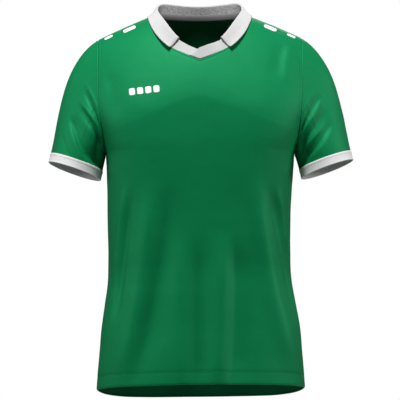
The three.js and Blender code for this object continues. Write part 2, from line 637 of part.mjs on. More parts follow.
const names = Object.keys(shell);
const flatNormals = sharedNormals(names.map((name) => shell[name]));
names.forEach((name, k) => {
  const { points, rise } = shell[name];
  if (!rise) return;
  const lifts = points.map((p) => rise(p));
  points.forEach((p, i) => p.addScaledVector(flatNormals[k][i], lifts[i]));
});
const foldedNormals = sharedNormals(names.map((name) => shell[name]));
const green = cloth(GREEN, 0.62);
const white = cloth(WHITE, 0.7);
names.forEach((name, k) => {
  const trimmed = shell[name].thickness === TRIM;
  addPiece(name, wall(shell[name], foldedNormals[k], shell[name].thickness), trimmed ? white : green);
});

const leaf = surface(collarGrid(), { flip: true });
addPiece("collar", wall(leaf, sharedNormals([leaf])[0], TRIM), white);

const tape = surface(neckTapeGrid());
const tapeNormals = sharedNormals([tape])[0];
tape.points = tape.points.map((p, i) => p.clone().addScaledVector(tapeNormals[i], -TRIM - NECK_TAPE.clearance));
addPiece("neck_tape", wall(tape, sharedNormals([tape])[0], TAPE), cloth(GREY, 0.8));

export default jersey;
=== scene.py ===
"""A short-sleeved football jersey in the hollow form that it keeps when it is worn.

Shapes are worked out in millimetres and made into meshes in metres. +Z is up, the chest faces -Y and the
wearer's left arm is at +X. The origin lies just below the neck ends of the shoulder seams.
"""

import math

import bpy
from mathutils import Matrix, Vector, noise
from mathutils.bvhtree import BVHTree


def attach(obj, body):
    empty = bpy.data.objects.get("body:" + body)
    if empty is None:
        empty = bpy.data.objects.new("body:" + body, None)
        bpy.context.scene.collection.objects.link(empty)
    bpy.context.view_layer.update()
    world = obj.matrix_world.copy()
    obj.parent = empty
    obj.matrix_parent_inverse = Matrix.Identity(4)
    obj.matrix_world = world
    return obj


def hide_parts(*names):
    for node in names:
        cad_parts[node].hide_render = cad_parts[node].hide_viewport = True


bl_info = {
    "name": "Football jersey",
    "version": (1, 0, 0),
    "blender": (4, 5, 0),
    "location": "3D View > Sidebar > Jersey",
    "description": "Makes a worn football jersey around its packed frame",
    "category": "Add Mesh",
}

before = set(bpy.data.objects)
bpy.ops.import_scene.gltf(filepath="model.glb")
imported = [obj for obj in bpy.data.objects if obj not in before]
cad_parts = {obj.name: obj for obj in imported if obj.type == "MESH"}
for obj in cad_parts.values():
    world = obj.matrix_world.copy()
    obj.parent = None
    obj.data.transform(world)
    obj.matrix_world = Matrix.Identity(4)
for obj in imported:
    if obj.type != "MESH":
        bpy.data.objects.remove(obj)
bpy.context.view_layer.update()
BODY = "root"
MM = 0.001

# Cut of the body
NECK_POINT = (93, 7)  # x and z where the shoulder seam meets the neckline
SHOULDER_POINT = (204, -41.5)  # x and z where the shoulder seam meets the sleeve
SHOULDER_BOW = 1.2  # rise of the shoulder line between its ends
NAPE_ROUNDING = 26  # radius of the ridge above the nape, where the neckline cuts it away
UNDERARM_Z = -274
SIDE_SEAM_Y = 4
SCOOP_HEIGHT = 110
SCOOP_POWER = 2.2
YOKE_Z = UNDERARM_Z + SCOOP_HEIGHT  # above this the rows rise to the shoulder and neck
SIDES = {
    "front": {"sign": -1, "armhole_y": 78, "ridge_height": 210, "ridge_power": 1.5},
    "back": {"sign": 1, "armhole_y": 84, "ridge_height": 165, "ridge_power": 1.5},
}
# Level sections of the body: height, half the width, its shift to the wearer's left, how far the front and
# back stand from the shoulder ridge, and the power of the superellipse that rounds each side.
TORSO_COLUMNS = ("z", "half", "shift", "front", "back", "power")
TORSO = [
    (60, 204, 0, 116, 92, 2.7),
    (-43, 204, 0, 118, 98, 2.75),
    (-100, 204, 0, 121, 104, 2.8),
    (-150, 204, 0, 124, 108, 2.9),
    (-185, 202, 0, 126, 109, 3),
    (-215, 198, 0, 126.5, 109, 3.1),
    (-245, 193.5, 0, 126, 108.5, 3.2),
    (-264, 190.5, -1, 125, 108, 3.2),
    (-276, 188.5, -1.4, 124, 107.5, 3.15),
    (-300, 187, -2, 122, 106.5, 3),
    (-345, 184.5, -3.2, 118, 104, 2.75),
    (-400, 182.5, -4.4, 113.5, 101, 2.55),
    (-500, 182, -4.6, 109, 99.5, 2.4),
    (-533, 184, -4.2, 109, 101, 2.4),
    (-565, 189, -3.6, 110, 103, 2.4),
    (-600, 194.5, -3, 111, 106, 2.4),
    (-632, 199, -2.8, 112, 108, 2.4),
    (-662, 201.5, -3, 114, 111, 2.4),
    (-695, 204, -3.4, 116, 113, 2.4),
    (-752, 208, -3.6, 119, 117, 2.4),
]
HEM_Z = -745
HEM_TILT = 0.004  # rise of the hem per millimetre to the wearer's left
# How far the hem lies below HEM_Z, by the share of the half row from the centre to the side seam
HEM_COLUMNS = ("share", "front", "back")
HEM_DROP = [(0, -7, 8.4), (0.55, -5.4, 8), (0.7, -4.6, 5.6), (0.8, -4, 2.8), (0.9, -3.5, -0.6), (1, -3, -3.4)]

# Neckline and collar, from the centre front to the centre back on one side. The seam joins the neck band
# to the body, the fold is the band's top edge and the edge is the collar's lower one. A place is x, z on
# that side of the body, or x, y, z in the air.
NECK_COLUMNS = ("side", "seam", "fold", "edge")
NECK = [
    ("front", (0, -92.8), (0, -73.3), None),
    ("front", (19, -85.2), (12.2, -68), None),
    ("front", (37.5, -77), (27.4, -61.2), None),
    ("front", (54, -68.2), (43, -52), (60, -70)),
    ("front", (67, -54.8), (54.8, -38.5), (73.5, -56.5)),
    ("front", (78, -38.3), (65.4, -22.3), (86, -40.3)),
    ("front", (85.5, -21.8), (75.2, -41, -5.8), (94.5, -25)),
    ("front", (90, -8.3), (81, -26, 4.2), (100, -12.3)),
    ("front", (92.5, 0.4), (84.3, -12, 12.3), (102, -4.6)),
    ("front", (93, 7), (85.8, 0, 19.4), (103.3, 3.4)),
    ("back", (91.5, 6.5), (84.3, 9, 25.2), (102.5, -3)),
    ("back", (86.5, 5.9), (80, 17, 29), (99, -6)),
    ("back", (80, 5.4), (74.5, 23, 31), (93.5, -8.5)),
    ("back", (71, 5), (66.5, 29, 31.6), (84, -10)),
    ("back", (59, 4.7), (55.5, 34.5, 31), (71, -10.9)),
    ("back", (45, 4.4), (42, 39, 30), (55, -11)),
    ("back", (30, 4.2), (28, 43, 29), (37, -11)),
    ("back", (15, 4.1), (14, 45, 28.3), (18.5, -11)),
    ("back", (0, 4), (0, 45.8, 28.1), (0, -11)),
]
NECK_POINT_ROW = 9
LEAF_FIRST_ROW = 3  # the collar's square end lies beside this row
LEAF_FOOT = 0.8
LEAF_ROLL = 0.6
LEAF_LIFT = 3.1
LEAF_END_LIFT = 5.6  # its square ends stand off this much more
LEAF_END_ROLL = 1.6  # and roll over more widely
LEAF_END_ROWS = 4  # rows of the neck over which they rise
LEAF_FALL = 0.7  # how far it goes down the stand before it turns out, as a share of its width
LEAF_SHOULDER_LIFT = 0.6  # it stands off more where it crosses the shoulder ridge
LEAF_SHOULDER_REACH = 45
LEAF_CUT_BACK = 0.3  # between the collar and the band's top edge
LAP_END = (-1.2, -0.6)  # the lapped end's upper corner, x and z from the centre front
LAP_GAP = 0.3
LAP_TILT = 3.6  # how far the lapped end's upper edge stands off, and the end below it leans in
TAPE_FIRST_ROW = NECK_POINT_ROW + 3
TAPE_BELOW = 0.8
TAPE_ABOVE = 10
TAPE_CLEARANCE = 0.45

# Sleeve and cuff of the wearer's left arm
CUFF_CENTRE = Vector((252.9, 0, -305.4))
CUFF_HALF_ACROSS = 54.9
CUFF_HALF_DEEP = 66
CUFF_TILT = math.radians(19.4)  # outer end above the inner end
CUFF_PITCH = math.radians(1.2)  # front edge above the back edge
ARM_LEAN = math.radians(14)
CUFF_HEIGHT = 17
CUFF_OVER = 1  # how far the cuff reaches over the sleeve's end
CUFF_STAND = 0.5  # how far it stands out over the sleeve
SLEEVE_LENGTH = 190  # of its cloth, from the armhole to the cuff
# How a sleeve leaves the armhole and reaches the cuff, by the share of the armhole from shoulder to underarm
FLOW_COLUMNS = ("share", "follow", "start", "end", "spread")
SLEEVE_FLOW = [
    (0, 0.88, 1.04, 0.74, 0),
    (0.3, 0.86, 0.96, 0.72, 0),
    (0.55, 0.65, 0.85, 0.7, 0),
    (0.8, 0.3, 0.8, 0.7, 0.06),
    (1, 0, 0.9, 0.6, 0.1),
]

# Folds of the body: the way of the crease as x and z seen from that side, its width to the wearer's right
# and left at its start and end, and its rise, which is negative for a trough.
FOLD_COLUMNS = ("side", "start", "bend", "end", "wide", "wide_end", "rise")
BODY_FOLDS = [
    ("front", (-100, -320), (-104, -540), (-178, -770), (18, 18), (30, 24), 8.5),
    ("front", (-64, -330), (-70, -540), (-140, -760), (15, 26), (20, 34), -7),
    ("front", (-38, -430), (-42, -600), (-40, -790), (20, 20), (27, 27), 5.5),
    ("front", (-8, -440), (-6, -600), (-4, -790), (19, 16), (24, 20), -6.5),
    ("front", (42, -430), (42, -600), (26, -790), (18, 11), (22, 13), 6.5),
    ("front", (66, -440), (70, -600), (56, -770), (8, 30), (10, 38), -8),
    ("front", (108, -310), (122, -540), (200, -750), (18, 17), (28, 22), 8.5),
    ("front", (136, -335), (156, -450), (186, -610), (11, 14), (13, 16), -5.5),
    ("front", (-150, -335), (-164, -430), (-178, -550), (6, 9), (8, 10), 3.2),
    ("front", (-136, -345), (-156, -500), (-174, -620), (8, 7), (10, 9), -5),
    ("front", (150, -345), (166, -410), (170, -480), (7, 8), (8, 9), 2.8),
    ("front", (172, -55), (160, -85), (152, -140), (12, 9), (14, 12), -2.4),
    ("front", (186, -50), (176, -90), (170, -150), (7, 8), (8, 9), 1.6),
    ("front", (-186, -110), (-176, -150), (-166, -215), (12, 14), (14, 16), -3),
    ("back", (-120, -300), (-126, -500), (-160, -780), (20, 22), (32, 30), 7),
    ("back", (-76, -300), (-84, -500), (-104, -780), (19, 16), (26, 22), -6.4),
    ("back", (-24, -360), (-30, -560), (-40, -790), (20, 20), (27, 27), 5),
    ("back", (16, -380), (18, -560), (16, -790), (14, 19), (19, 26), -5.4),
    ("back", (64, -320), (70, -520), (84, -790), (19, 19), (28, 26), 6.4),
    ("back", (108, -300), (118, -500), (142, -780), (14, 19), (18, 24), -6),
    ("back", (150, -345), (164, -440), (176, -560), (8, 9), (10, 11), 2.4),
    ("back", (-146, -350), (-158, -450), (-170, -570), (9, 8), (11, 10), -2.4),
    ("back", (-178, -110), (-168, -160), (-160, -220), (12, 10), (14, 12), -1.8),
    ("back", (176, -100), (166, -150), (160, -215), (10, 12), (12, 14), -1.8),
]
# Folds of a sleeve. Round is the share of the armhole from the shoulder to the underarm, negative behind,
# and down is the share of the way from the armhole to the cuff. Widths are shares too.
SLEEVE_FOLD_COLUMNS = ("hand", "start", "bend", "end", "wide", "wide_end", "rise")
SLEEVE_FOLDS = [
    (-1, (0.16, 0.56), (0.46, 0.64), (0.69, 1.02), (0.02, 0.03), (0.022, 0.032), -3),
    (-1, (0.2, 0.54), (0.5, 0.64), (0.76, 0.96), (0.05, 0.16), (0.05, 0.13), -7),
    (-1, (0.16, 0.42), (0.54, 0.46), (0.9, 0.16), (0.07, 0.05), (0.06, 0.05), -4),
    (-1, (0.2, 0.39), (0.46, 0.4), (0.76, 0.08), (0.02, 0.022), (0.02, 0.02), 3),
    (-1, (0.2, 0.3), (0.46, 0.28), (0.72, 0.08), (0.035, 0.03), (0.035, 0.03), -4),
    (-1, (0.18, 0.27), (0.4, 0.21), (0.62, 0), (0.018, 0.018), (0.018, 0.016), 1.6),
    (-1, (0.2, 0.76), (0.33, 0.82), (0.44, 1.02), (0.03, 0.016), (0.03, 0.016), -1.4),
    (1, (0.2, 0.3), (0.46, 0.25), (0.66, -0.02), (0.02, 0.018), (0.018, 0.016), 1.6),
    (1, (0.2, 0.36), (0.52, 0.34), (0.8, 0.1), (0.04, 0.04), (0.04, 0.04), -4),
    (1, (0.18, 0.4), (0.42, 0.43), (0.68, 0.28), (0.022, 0.02), (0.02, 0.018), 2),
    (1, (0.16, 0.5), (0.5, 0.54), (0.9, 0.34), (0.055, 0.05), (0.05, 0.05), -4),
    (1, (0.26, 0.58), (0.52, 0.62), (0.78, 0.52), (0.022, 0.02), (0.02, 0.018), 1.8),
    (0, (0.66, 0.2), (0.8, 0.5), (0.82, 1.06), (0.1, 0.09), (0.1, 0.09), -8),
    (1, (0.2, 0.6), (0.5, 0.68), (0.8, 0.8), (0.05, 0.16), (0.05, 0.13), -6),
    (0, (-0.3, 0.3), (-0.45, 0.6), (-0.6, 1.02), (0.06, 0.04), (0.08, 0.05), -3.6),
    (0, (-0.4, 0.2), (-0.6, 0.42), (-0.76, 0.8), (0.04, 0.06), (0.05, 0.07), 3.8),
    (0, (-0.56, 0.12), (-0.68, 0.3), (-0.86, 0.6), (0.03, 0.03), (0.035, 0.035), -3),
    (0, (-0.7, 0.15), (-0.86, 0.5), (-0.86, 1.04), (0.08, 0.08), (0.08, 0.08), -5),
]
FOLD_FADE = 0.28  # share of a fold's length over which it grows and dies away
FOLD_PARTS = 14
FOLD_REACH = 2.6  # widths from its line past which a fold no longer shows
SEAM_CALM = 24  # folds die away this near a seam
SLEEVE_CALM = (0.05, 0.04)  # and this near a sleeve's ends, as shares of its length

# Seams: gaussian bumps of the cloth beside a seam, at a distance from it
SEAM_COLUMNS = ("away", "wide", "rise")
SEAM_PROFILE = [(0, 1.5, -0.75), (3.8, 1.9, 0.3), (7.6, 1.5, -0.3)]
HEM_PROFILE = [(0, 1.6, -0.9), (25, 1.5, -0.3), (28.5, 1.4, -0.24)]
CUFF_EDGE = [(1.2, 1.3, 0.3)]
HEM_TURNED = 26.5  # height of the cloth that is turned up inside the hem
HEM_STITCH_ROWS = (25, 28.5)
ARMHOLE_STITCH = 7.6  # distance of the stitches beside an armhole
CUFF_STITCH_ROW = 10  # rows of a cuff's and the collar's surface that carry stitches, from the last one
LEAF_STITCH_ROW = 3
HEM_STITCH_LIFT = 0.12  # how far a stitch stands off the body's cloth, and off the trim's
TRIM_STITCH_LIFT = 0.1
STITCH_GAP = 0.1  # share of the pitch left free at each end of a stitch
THREAD_SIDES = 5
THREAD_RADIUS = 0.32
THREAD_ARCH = THREAD_RADIUS * 0.6
THREAD_RINGS = ((0.15, 0.7), (0.5, 1), (0.85, 0.7))  # share of a stitch's length, and of the thread's radius
DRIFT = ((70, 0.7), (24, 0.22), (9, 0.05))  # size and rise of the cloth's small unevenness

# How finely each surface is divided
NECK_STEPS = 4
SHOULDER_COLUMNS = 34
EDGE_STEPS = (0, 1.2, 2.6, 4.2, 5.9, 7.6, 9.3, 11.8)  # columns beside a side seam or armhole
HEM_STEPS = (0, 0.8, 2, 4, 7, 11, 15, 19, 22, 23.7, 25, 26.3, 27.4, 28.5, 29.7, 31.5, 34.5)
SKIRT_ROWS = 108
SCOOP_ROWS = 44
YOKE_ROWS = 56
SLEEVE_ROWS = 64
SLEEVE_STEPS = (0, 0.006, 0.013, 0.022, 0.032, 0.044)
ROW_TRIALS = 240  # parts in which a line is first drawn, to measure it
SEAM_TRIALS = 60
FOLD_TRIALS = 40
LONGEST_MITRE = 1.7
BAND_STEPS = (-0.05, 0, 0.04, 0.1, 0.2, 0.35, 0.5, 0.65, 0.8, 0.9, 0.96, 1)  # shares of the way up the band
LEAF_ROLL_STEPS = 8
LEAF_FALL_STEPS = 16
CUFF_STEPS = (0, 0.6, 1.4, 2.4, 3.6, 5, 8)  # rings below a cuff's upper edge and above its lower one

HALF_COLUMNS = NECK_POINT_ROW * NECK_STEPS + SHOULDER_COLUMNS
ROW_POINTS = 2 * HALF_COLUMNS + 1

# Marks: four blocks in a leaning row on the chest, and two dashes along each shoulder
BLOCK_COUNT = 4
BLOCK_MIDDLE = (-111, -156)  # x and z of the row's middle
BLOCK_TURN = math.radians(5)
BLOCK_PITCH = 16.2
BLOCK = (12, 14.5, 3)  # width, height and corner radius
DASH_COLUMNS = ("x", "below", "wide", "high")  # below the shoulder ridge
DASHES = [(141, 10.5, 27, 8), (183, 7, 18, 5)]
DASH_CORNER_CUT = 0.2  # how much less than half its height a dash's corner radius is
MARK_LIFT = 0.22
MARK_THICKNESS = 0.35
PATCH_STEP = 1.2
PATCH_PARTS = 6  # fewest parts of a mark each way
BEFORE_CHEST = -400  # y from which a mark is cast back on the chest

# Lights: name, place and aim in metres, size and power
LIGHTS = (
    ("key_light", (-0.2, -1.15, 1.9), (0, 0, -0.2), 0.5, 74),
    ("side_light_right", (2.3, -0.4, 0.3), (0, 0, -0.5), 0.8, 22),
    ("side_light_left", (-2.2, -0.6, 0.3), (0, 0, -0.5), 0.8, 14),
    ("back_light", (0.4, 2.6, 1.4), (0, 0, -0.4), 2.0, 26),
)
ROOM_LIGHT = 0.08  # strength of the even light from all round

GREEN_SHINE = (0.1, 1, 0.45, 1)  # tint of the green cloth's gloss
OUTER_MOTTLE_AND_GROOVE_SHADE = 0.18  # how much darker the cloth's outer side is in random places, and in the knit's grooves as painted shade
PLAIN_SHINE = (0.2, (1, 1, 1, 1))  # level and tint of the trim's gloss
TRIM_STITCHES = (0.0014, 0.0009)  # width and height of a stitch, in metres
TAPE_STITCHES = (0.0008, 0.0016)

shape = {}  # surfaces that several pieces share, in millimetres


def clamp(value, low=0.0, high=1.0):
    return min(max(value, low), high)


def lerp(a, b, t):
    return a + (b - a) * t


def ease(t):
    t = clamp(t)
    return t * t * (3 - 2 * t)


def hermite(a, b, leave, arrive, t):
    t2 = t * t
    t3 = t2 * t
    return a * (2 * t3 - 3 * t2 + 1) + leave * (t3 - 2 * t2 + t) + b * (3 * t2 - 2 * t3) + arrive * (t3 - t2)


def through(values, at):
    """The place at a row number between rows, on one smooth curve through a list of numbers or vectors."""
    last = len(values) - 1
    i = min(int(at), last - 1)

    def slope(row):
        before, after = max(row - 1, 0), min(row + 1, last)
        return (values[after] - values[before]) / (after - before)

    return hermite(values[i], values[i + 1], slope(i), slope(i + 1), at - i)


def smooth(table, columns, column, at):
    """The value of a table's column at a place between its rows, on one smooth curve."""
    k = columns.index(column)
    last = len(table) - 1
    rising = table[last][0] > table[0][0]
    i = 0
    while i < last - 1 and (at > table[i + 1][0] if rising else at < table[i + 1][0]):
        i += 1

    def slope(row):
        before, after = table[max(row - 1, 0)], table[min(row + 1, last)]
        return (after[k] - before[k]) / (after[0] - before[0])

    span = table[i + 1][0] - table[i][0]
    t = clamp((at - table[i][0]) / span)
    return hermite(table[i][k], table[i + 1][k], slope(i) * span, slope(i + 1) * span, t)


def superellipse(share, power):
    return (1 - clamp(share) ** power) ** (1 / power)


def ridge_z(x):
    """Height of the shoulder ridge above the frontal point x. Between the neck points it is rounded over."""
    (neck_x, neck_z), (shoulder_x, shoulder_z) = NECK_POINT, SHOULDER_POINT
    slope = (neck_z - shoulder_z) / (shoulder_x - neck_x)
    if abs(x) < neck_x:
        return neck_z + slope * (math.hypot(neck_x, NAPE_ROUNDING) - math.hypot(x, NAPE_ROUNDING))
    share = (abs(x) - neck_x) / (shoulder_x - neck_x)
    return lerp(neck_z, shoulder_z, share) + 4 * share * (1 - share) * SHOULDER_BOW


def section(side, z):
    """The level section at z on one side of the garment, as if the shoulders had no slope."""
    sign = SIDES[side]["sign"]
    half = SHOULDER_POINT[0] if z >= YOKE_Z else smooth(TORSO, TORSO_COLUMNS, "half", z)
    reach = smooth(TORSO, TORSO_COLUMNS, side, z) - sign * SIDE_SEAM_Y
    power = smooth(TORSO, TORSO_COLUMNS, "power", z)
    cut = 0
    if z > UNDERARM_Z:
        scooped = superellipse(1 - (z - UNDERARM_Z) / SCOOP_HEIGHT, SCOOP_POWER)
        cut = scooped * (SIDES[side]["armhole_y"] - sign * SIDE_SEAM_Y) / reach
    shift = smooth(TORSO, TORSO_COLUMNS, "shift", z)
    full = half / superellipse(cut, power)
    return {"half": half, "full": full, "reach": reach, "power": power, "shift": shift}


def body_point(side, x, z, at=None):
    """The point of the body's surface that is seen at x, z from that side."""
    at = at or section(side, z)
    bulge = superellipse(abs(x - at["shift"]) / at["full"], at["power"])
    flat = SIDE_SEAM_Y + SIDES[side]["sign"] * at["reach"] * bulge
    fall = clamp((ridge_z(x) - z) / SIDES[side]["ridge_height"])
    out = math.sqrt(max(1 - (1 - fall) ** SIDES[side]["ridge_power"], 0))
    return Vector((x, flat * out, z))


def body_normal(side, x, z):
    step = 0.5
    along = body_point(side, x + step, z) - body_point(side, x - step, z)
    up = body_point(side, x, z + step) - body_point(side, x, z - step)
    return (up.cross(along) * SIDES[side]["sign"]).normalized()


def lengths_along(points):
    lengths = [0.0]
    for a, b in zip(points, points[1:]):
        lengths.append(lengths[-1] + (b - a).length)
    return lengths


def at_lengths(values, lengths, wanted):
    """A line's points or normals, given at these lengths along it, at the wanted lengths, which rise."""
    found = []
    i = 1
    for length in wanted:
        while i < len(values) - 1 and lengths[i] < length:
            i += 1
        t = (length - lengths[i - 1]) / (lengths[i] - lengths[i - 1])
        found.append(values[i - 1].lerp(values[i], clamp(t)))
    return found


def spread_lengths(total, parts, edge_steps):
    """Lengths from 0 to the total in that many parts: close together at the far end, even before it."""
    even = parts - len(edge_steps) + 1
    start = total - edge_steps[-1]
    return [start * i / even for i in range(even)] + [total - step for step in reversed(edge_steps)]


def level_row(side, z, hand):
    """One level half row from the centre to the side seam or armhole, and its points' lengths along it."""
    at = section(side, z)
    last_sine = clamp(at["half"] / at["full"]) ** (at["power"] / 2)
    trials = []
    for i in range(ROW_TRIALS + 1):
        sine = math.sin(math.asin(last_sine) * i / ROW_TRIALS)
        offset = at["half"] if i == ROW_TRIALS else at["full"] * sine ** (2 / at["power"])
        trials.append(body_point(side, at["shift"] + hand * offset, z, at))
    lengths = lengths_along(trials)
    wanted = spread_lengths(lengths[-1], HALF_COLUMNS, EDGE_STEPS)
    return at_lengths(trials, lengths, wanted), wanted


def full_row(side, z, hem_share):
    """A level row from the wearer's right to left, with each point's way across from the centre."""
    row = []
    for hand in (-1, 1):
        points, lengths = level_row(side, z, hand)
        half = []
        for p, length in zip(points, lengths):
            drop = smooth(HEM_DROP, HEM_COLUMNS, side, length / lengths[-1])
            p.z += (p.x * HEM_TILT - drop) * hem_share**3
            half.append((p, hand * length))
        row = half[::-1] if hand < 0 else row + half[1:]
    return row


def neck_rows():
    """The neck table's rows with more rows between them: side, seam, fold and edge on the wearer's left."""
    sides = [row[0] for row in NECK]
    seams = [Vector(row[1]) for row in NECK]
    folds = [Vector(f) if len(f) == 3 else body_point(side, *f) for side, _, f, _ in NECK]
    edges = [Vector(row[3]) for row in NECK[LEAF_FIRST_ROW:]]
    rows = []
    for k in range((len(NECK) - 1) * NECK_STEPS + 1):
        at = k / NECK_STEPS
        side = sides[0] if at <= NECK_POINT_ROW else sides[-1]
        x, z = through(seams, at)
        seam = (x, min(z, ridge_z(x)))
        edge = None
        if at >= LEAF_FIRST_ROW:
            x, z = through(edges, at - LEAF_FIRST_ROW)
            edge = (x, min(z, ridge_z(x)))
        rows.append({"side": side, "seam": seam, "fold": through(folds, at), "edge": edge, "at": at})
    return rows


def top_edge(side, hand):
    """The body panel's top edge on one hand: the neckline from its middle, then the shoulder seam."""
    point_row = NECK_POINT_ROW * NECK_STEPS
    rows = neck_rows()
    rows = rows[: point_row + 1] if side == "front" else rows[point_row:][::-1]
    neck = [(hand * row["seam"][0], row["seam"][1]) for row in rows]
    neck[-1] = (hand * NECK_POINT[0], NECK_POINT[1])
    across = [lerp(NECK_POINT[0], SHOULDER_POINT[0], i / SEAM_TRIALS) for i in range(SEAM_TRIALS + 1)]
    line = [Vector((x, 0, ridge_z(x))) for x in across]
    lengths = lengths_along(line)
    wanted = spread_lengths(lengths[-1], SHOULDER_COLUMNS, EDGE_STEPS)
    seam = [(hand * p.x, p.z) for p in at_lengths(line, lengths, wanted)[1:]]
    return neck + seam


def body_grid(side):
    """A panel's rows from the hem to the top edge, each a list of points with their way across."""
    skirt = UNDERARM_Z - HEM_Z
    left = SKIRT_ROWS - len(HEM_STEPS)
    heights = list(HEM_STEPS) + [lerp(HEM_STEPS[-1], skirt, (r + 1) / (left + 1)) for r in range(left)]
    rows = [full_row(side, HEM_Z + height, 1 - height / skirt) for height in heights]
    for r in range(SCOOP_ROWS):
        # Even at the centre, and by even steps along the armhole's curve at its edge.
        curve = 1 - math.cos(math.pi / 2 * r / SCOOP_ROWS) ** (2 / SCOOP_POWER)
        edge = full_row(side, lerp(UNDERARM_Z, YOKE_Z, curve), 0)
        middle = lerp(UNDERARM_Z, YOKE_Z, r / SCOOP_ROWS)
        row = []
        for p, across in edge:
            end = edge[-1][1] if across > 0 else -edge[0][1]
            share = (abs(across) / end) ** 1.5
            row.append((body_point(side, p.x, lerp(middle, p.z, share)), across))
        rows.append(row)
    base = full_row(side, YOKE_Z, 0)
    top = top_edge(side, -1)[::-1] + top_edge(side, 1)[1:]
    for r in range(YOKE_ROWS + 1):
        rise = 1 - (1 - r / YOKE_ROWS) ** 1.6
        row = []
        for (p, across), (x, z) in zip(base, top):
            row.append((body_point(side, lerp(p.x, x, rise), lerp(p.z, z, rise)), across))
        rows.append(row)
    return rows


def armhole(hand):
    """The closed armhole on one hand, from the underarm up the back to the shoulder and down the front."""
    column = 2 * HALF_COLUMNS if hand > 0 else 0
    inner = column - hand
    lines = {}
    for side in SIDES:
        rows = shape["grids"][side][SKIRT_ROWS:]
        at = [row[column][0] for row in rows]
        out = [(row[column][0] - row[inner][0]).normalized() for row in rows]
        lengths = lengths_along(at)
        shares = [1 - length / lengths[-1] for length in lengths]
        lines[side] = list(zip(at, out, shares))
    behind = [(at, out, -share) for at, out, share in lines["back"]]
    return behind[:-1] + lines["front"][:0:-1]


def cuff_point(hand, share, above, out=0.0):
    """A point of the cuff's ring at a distance above its lower edge, moved outwards."""
    turn = math.pi * share
    across = (CUFF_HALF_ACROSS + out) * math.cos(turn)
    forward = (CUFF_HALF_DEEP + out) * math.sin(turn)
    x = CUFF_CENTRE.x + across * math.cos(CUFF_TILT) - above * math.sin(ARM_LEAN)
    y = CUFF_CENTRE.y - forward * math.cos(CUFF_PITCH)
    rise = across * math.sin(CUFF_TILT) + forward * math.sin(CUFF_PITCH)
    return Vector((hand * x, y, CUFF_CENTRE.z + rise + above * math.cos(ARM_LEAN)))


def sleeve_grid(hand):
    """A sleeve's rings from the armhole to the cuff seam, each a closed list with round and down."""
    ring = armhole(hand)
    arm = Vector((hand * math.sin(ARM_LEAN), 0, -math.cos(ARM_LEAN)))
    lines = []
    for i, (at, out, share) in enumerate(ring):
        end = cuff_point(hand, share, CUFF_HEIGHT)
        way = end - at
        length = way.length
        flow = {c: smooth(SLEEVE_FLOW, FLOW_COLUMNS, c, abs(share)) for c in FLOW_COLUMNS[1:]}
        seam = ring[(i + 1) % len(ring)][0] - ring[i - 1][0]
        normal = out.cross(seam).normalized()
        in_surface = (way - normal * way.dot(normal)).normalized()
        leave = way.normalized().lerp(in_surface, flow["follow"]) + Vector((hand * flow["spread"], 0, 0))
        leave = leave.normalized() * (length * flow["start"])
        lines.append((at, end, leave, arm * (length * flow["end"]), share))
    left = SLEEVE_ROWS - len(SLEEVE_STEPS) + 1
    downs = list(SLEEVE_STEPS) + [lerp(SLEEVE_STEPS[-1], 1, (r + 1) / left) for r in range(left)]
    rows = []
    for down in downs:
        row = []
        for at, end, leave, arrive, share in lines:
            row.append((hermite(at, end, leave, arrive, down), share, down))
        rows.append(row)
    return rows


def fold_line(points, wide, wide_end, rise):
    """A fold's line in parts, its widths and its rise, which boxed makes ready for fold_rise."""
    start, bend, end = (Vector(p) for p in points)
    line = []
    for i in range(FOLD_PARTS + 1):
        t = i / FOLD_PARTS
        line.append(start * (1 - t) ** 2 + bend * (2 * t * (1 - t)) + end * t**2)
    return {"line": line, "wide": wide, "wide_end": wide_end, "rise": rise}


def boxed(fold):
    reach = FOLD_REACH * max(*fold["wide"], *fold["wide_end"])
    us = [p[0] for p in fold["line"]]
    vs = [p[1] for p in fold["line"]]
    fold["box"] = (min(us) - reach, max(us) + reach, min(vs) - reach, max(vs) + reach)
    parts = []
    for a, b in zip(fold["line"], fold["line"][1:]):
        parts.append((a[0], a[1], b[0] - a[0], b[1] - a[1], (b - a).length_squared))
    fold["parts"] = parts
    return fold


def fold_rise(fold, u, v):
    """How far a fold lifts the cloth at a place on its piece."""
    low_u, high_u, low_v, high_v = fold["box"]
    if not (low_u < u < high_u and low_v < v < high_v):
        return 0.0
    nearest = math.inf
    along = 0
    turn = 0
    for i, (au, av, du, dv, squared) in enumerate(fold["parts"]):
        t = clamp(((u - au) * du + (v - av) * dv) / squared)
        off_u = u - au - t * du
        off_v = v - av - t * dv
        far = off_u * off_u + off_v * off_v
        if far < nearest:
            nearest = far
            along = (i + t) / FOLD_PARTS
            turn = off_u
    hand = 1 if turn > 0 else 0
    wide = lerp(fold["wide"][hand], fold["wide_end"][hand], along)
    fade = ease(min(1, along / FOLD_FADE, (1 - along) / FOLD_FADE))
    return fold["rise"] * math.exp(-nearest / wide**2) * fade


def way_across(side, x, z):
    """The way along the cloth of a level row from its centre to the place seen at x."""
    at = section(side, z)
    steps = [i / FOLD_TRIALS for i in range(FOLD_TRIALS + 1)]
    line = [body_point(side, lerp(at["shift"], x, step), z, at) for step in steps]
    return math.copysign(lengths_along(line)[-1], x - at["shift"])


def body_folds(side):
    folds = []
    for name, start, bend, end, wide, wide_end, rise in BODY_FOLDS:
        if name == side:
            fold = fold_line((start, bend, end), wide, wide_end, rise)
            fold["line"] = [Vector((way_across(side, p.x, p.y), p.y)) for p in fold["line"]]
            folds.append(boxed(fold))
    return folds


def sleeve_folds(hand):
    rows = [row for row in SLEEVE_FOLDS if row[0] in (0, hand)]
    return [boxed(fold_line(row[1:4], *row[4:])) for row in rows]


def bumps(profile, away):
    return sum(rise * math.exp(-(((away - at) / wide) ** 2)) for at, wide, rise in profile)


def drift(p):
    """Small unevenness of the cloth, the same on both sides of a seam."""
    return sum(rise * noise.noise(p / size) for size, rise in DRIFT)


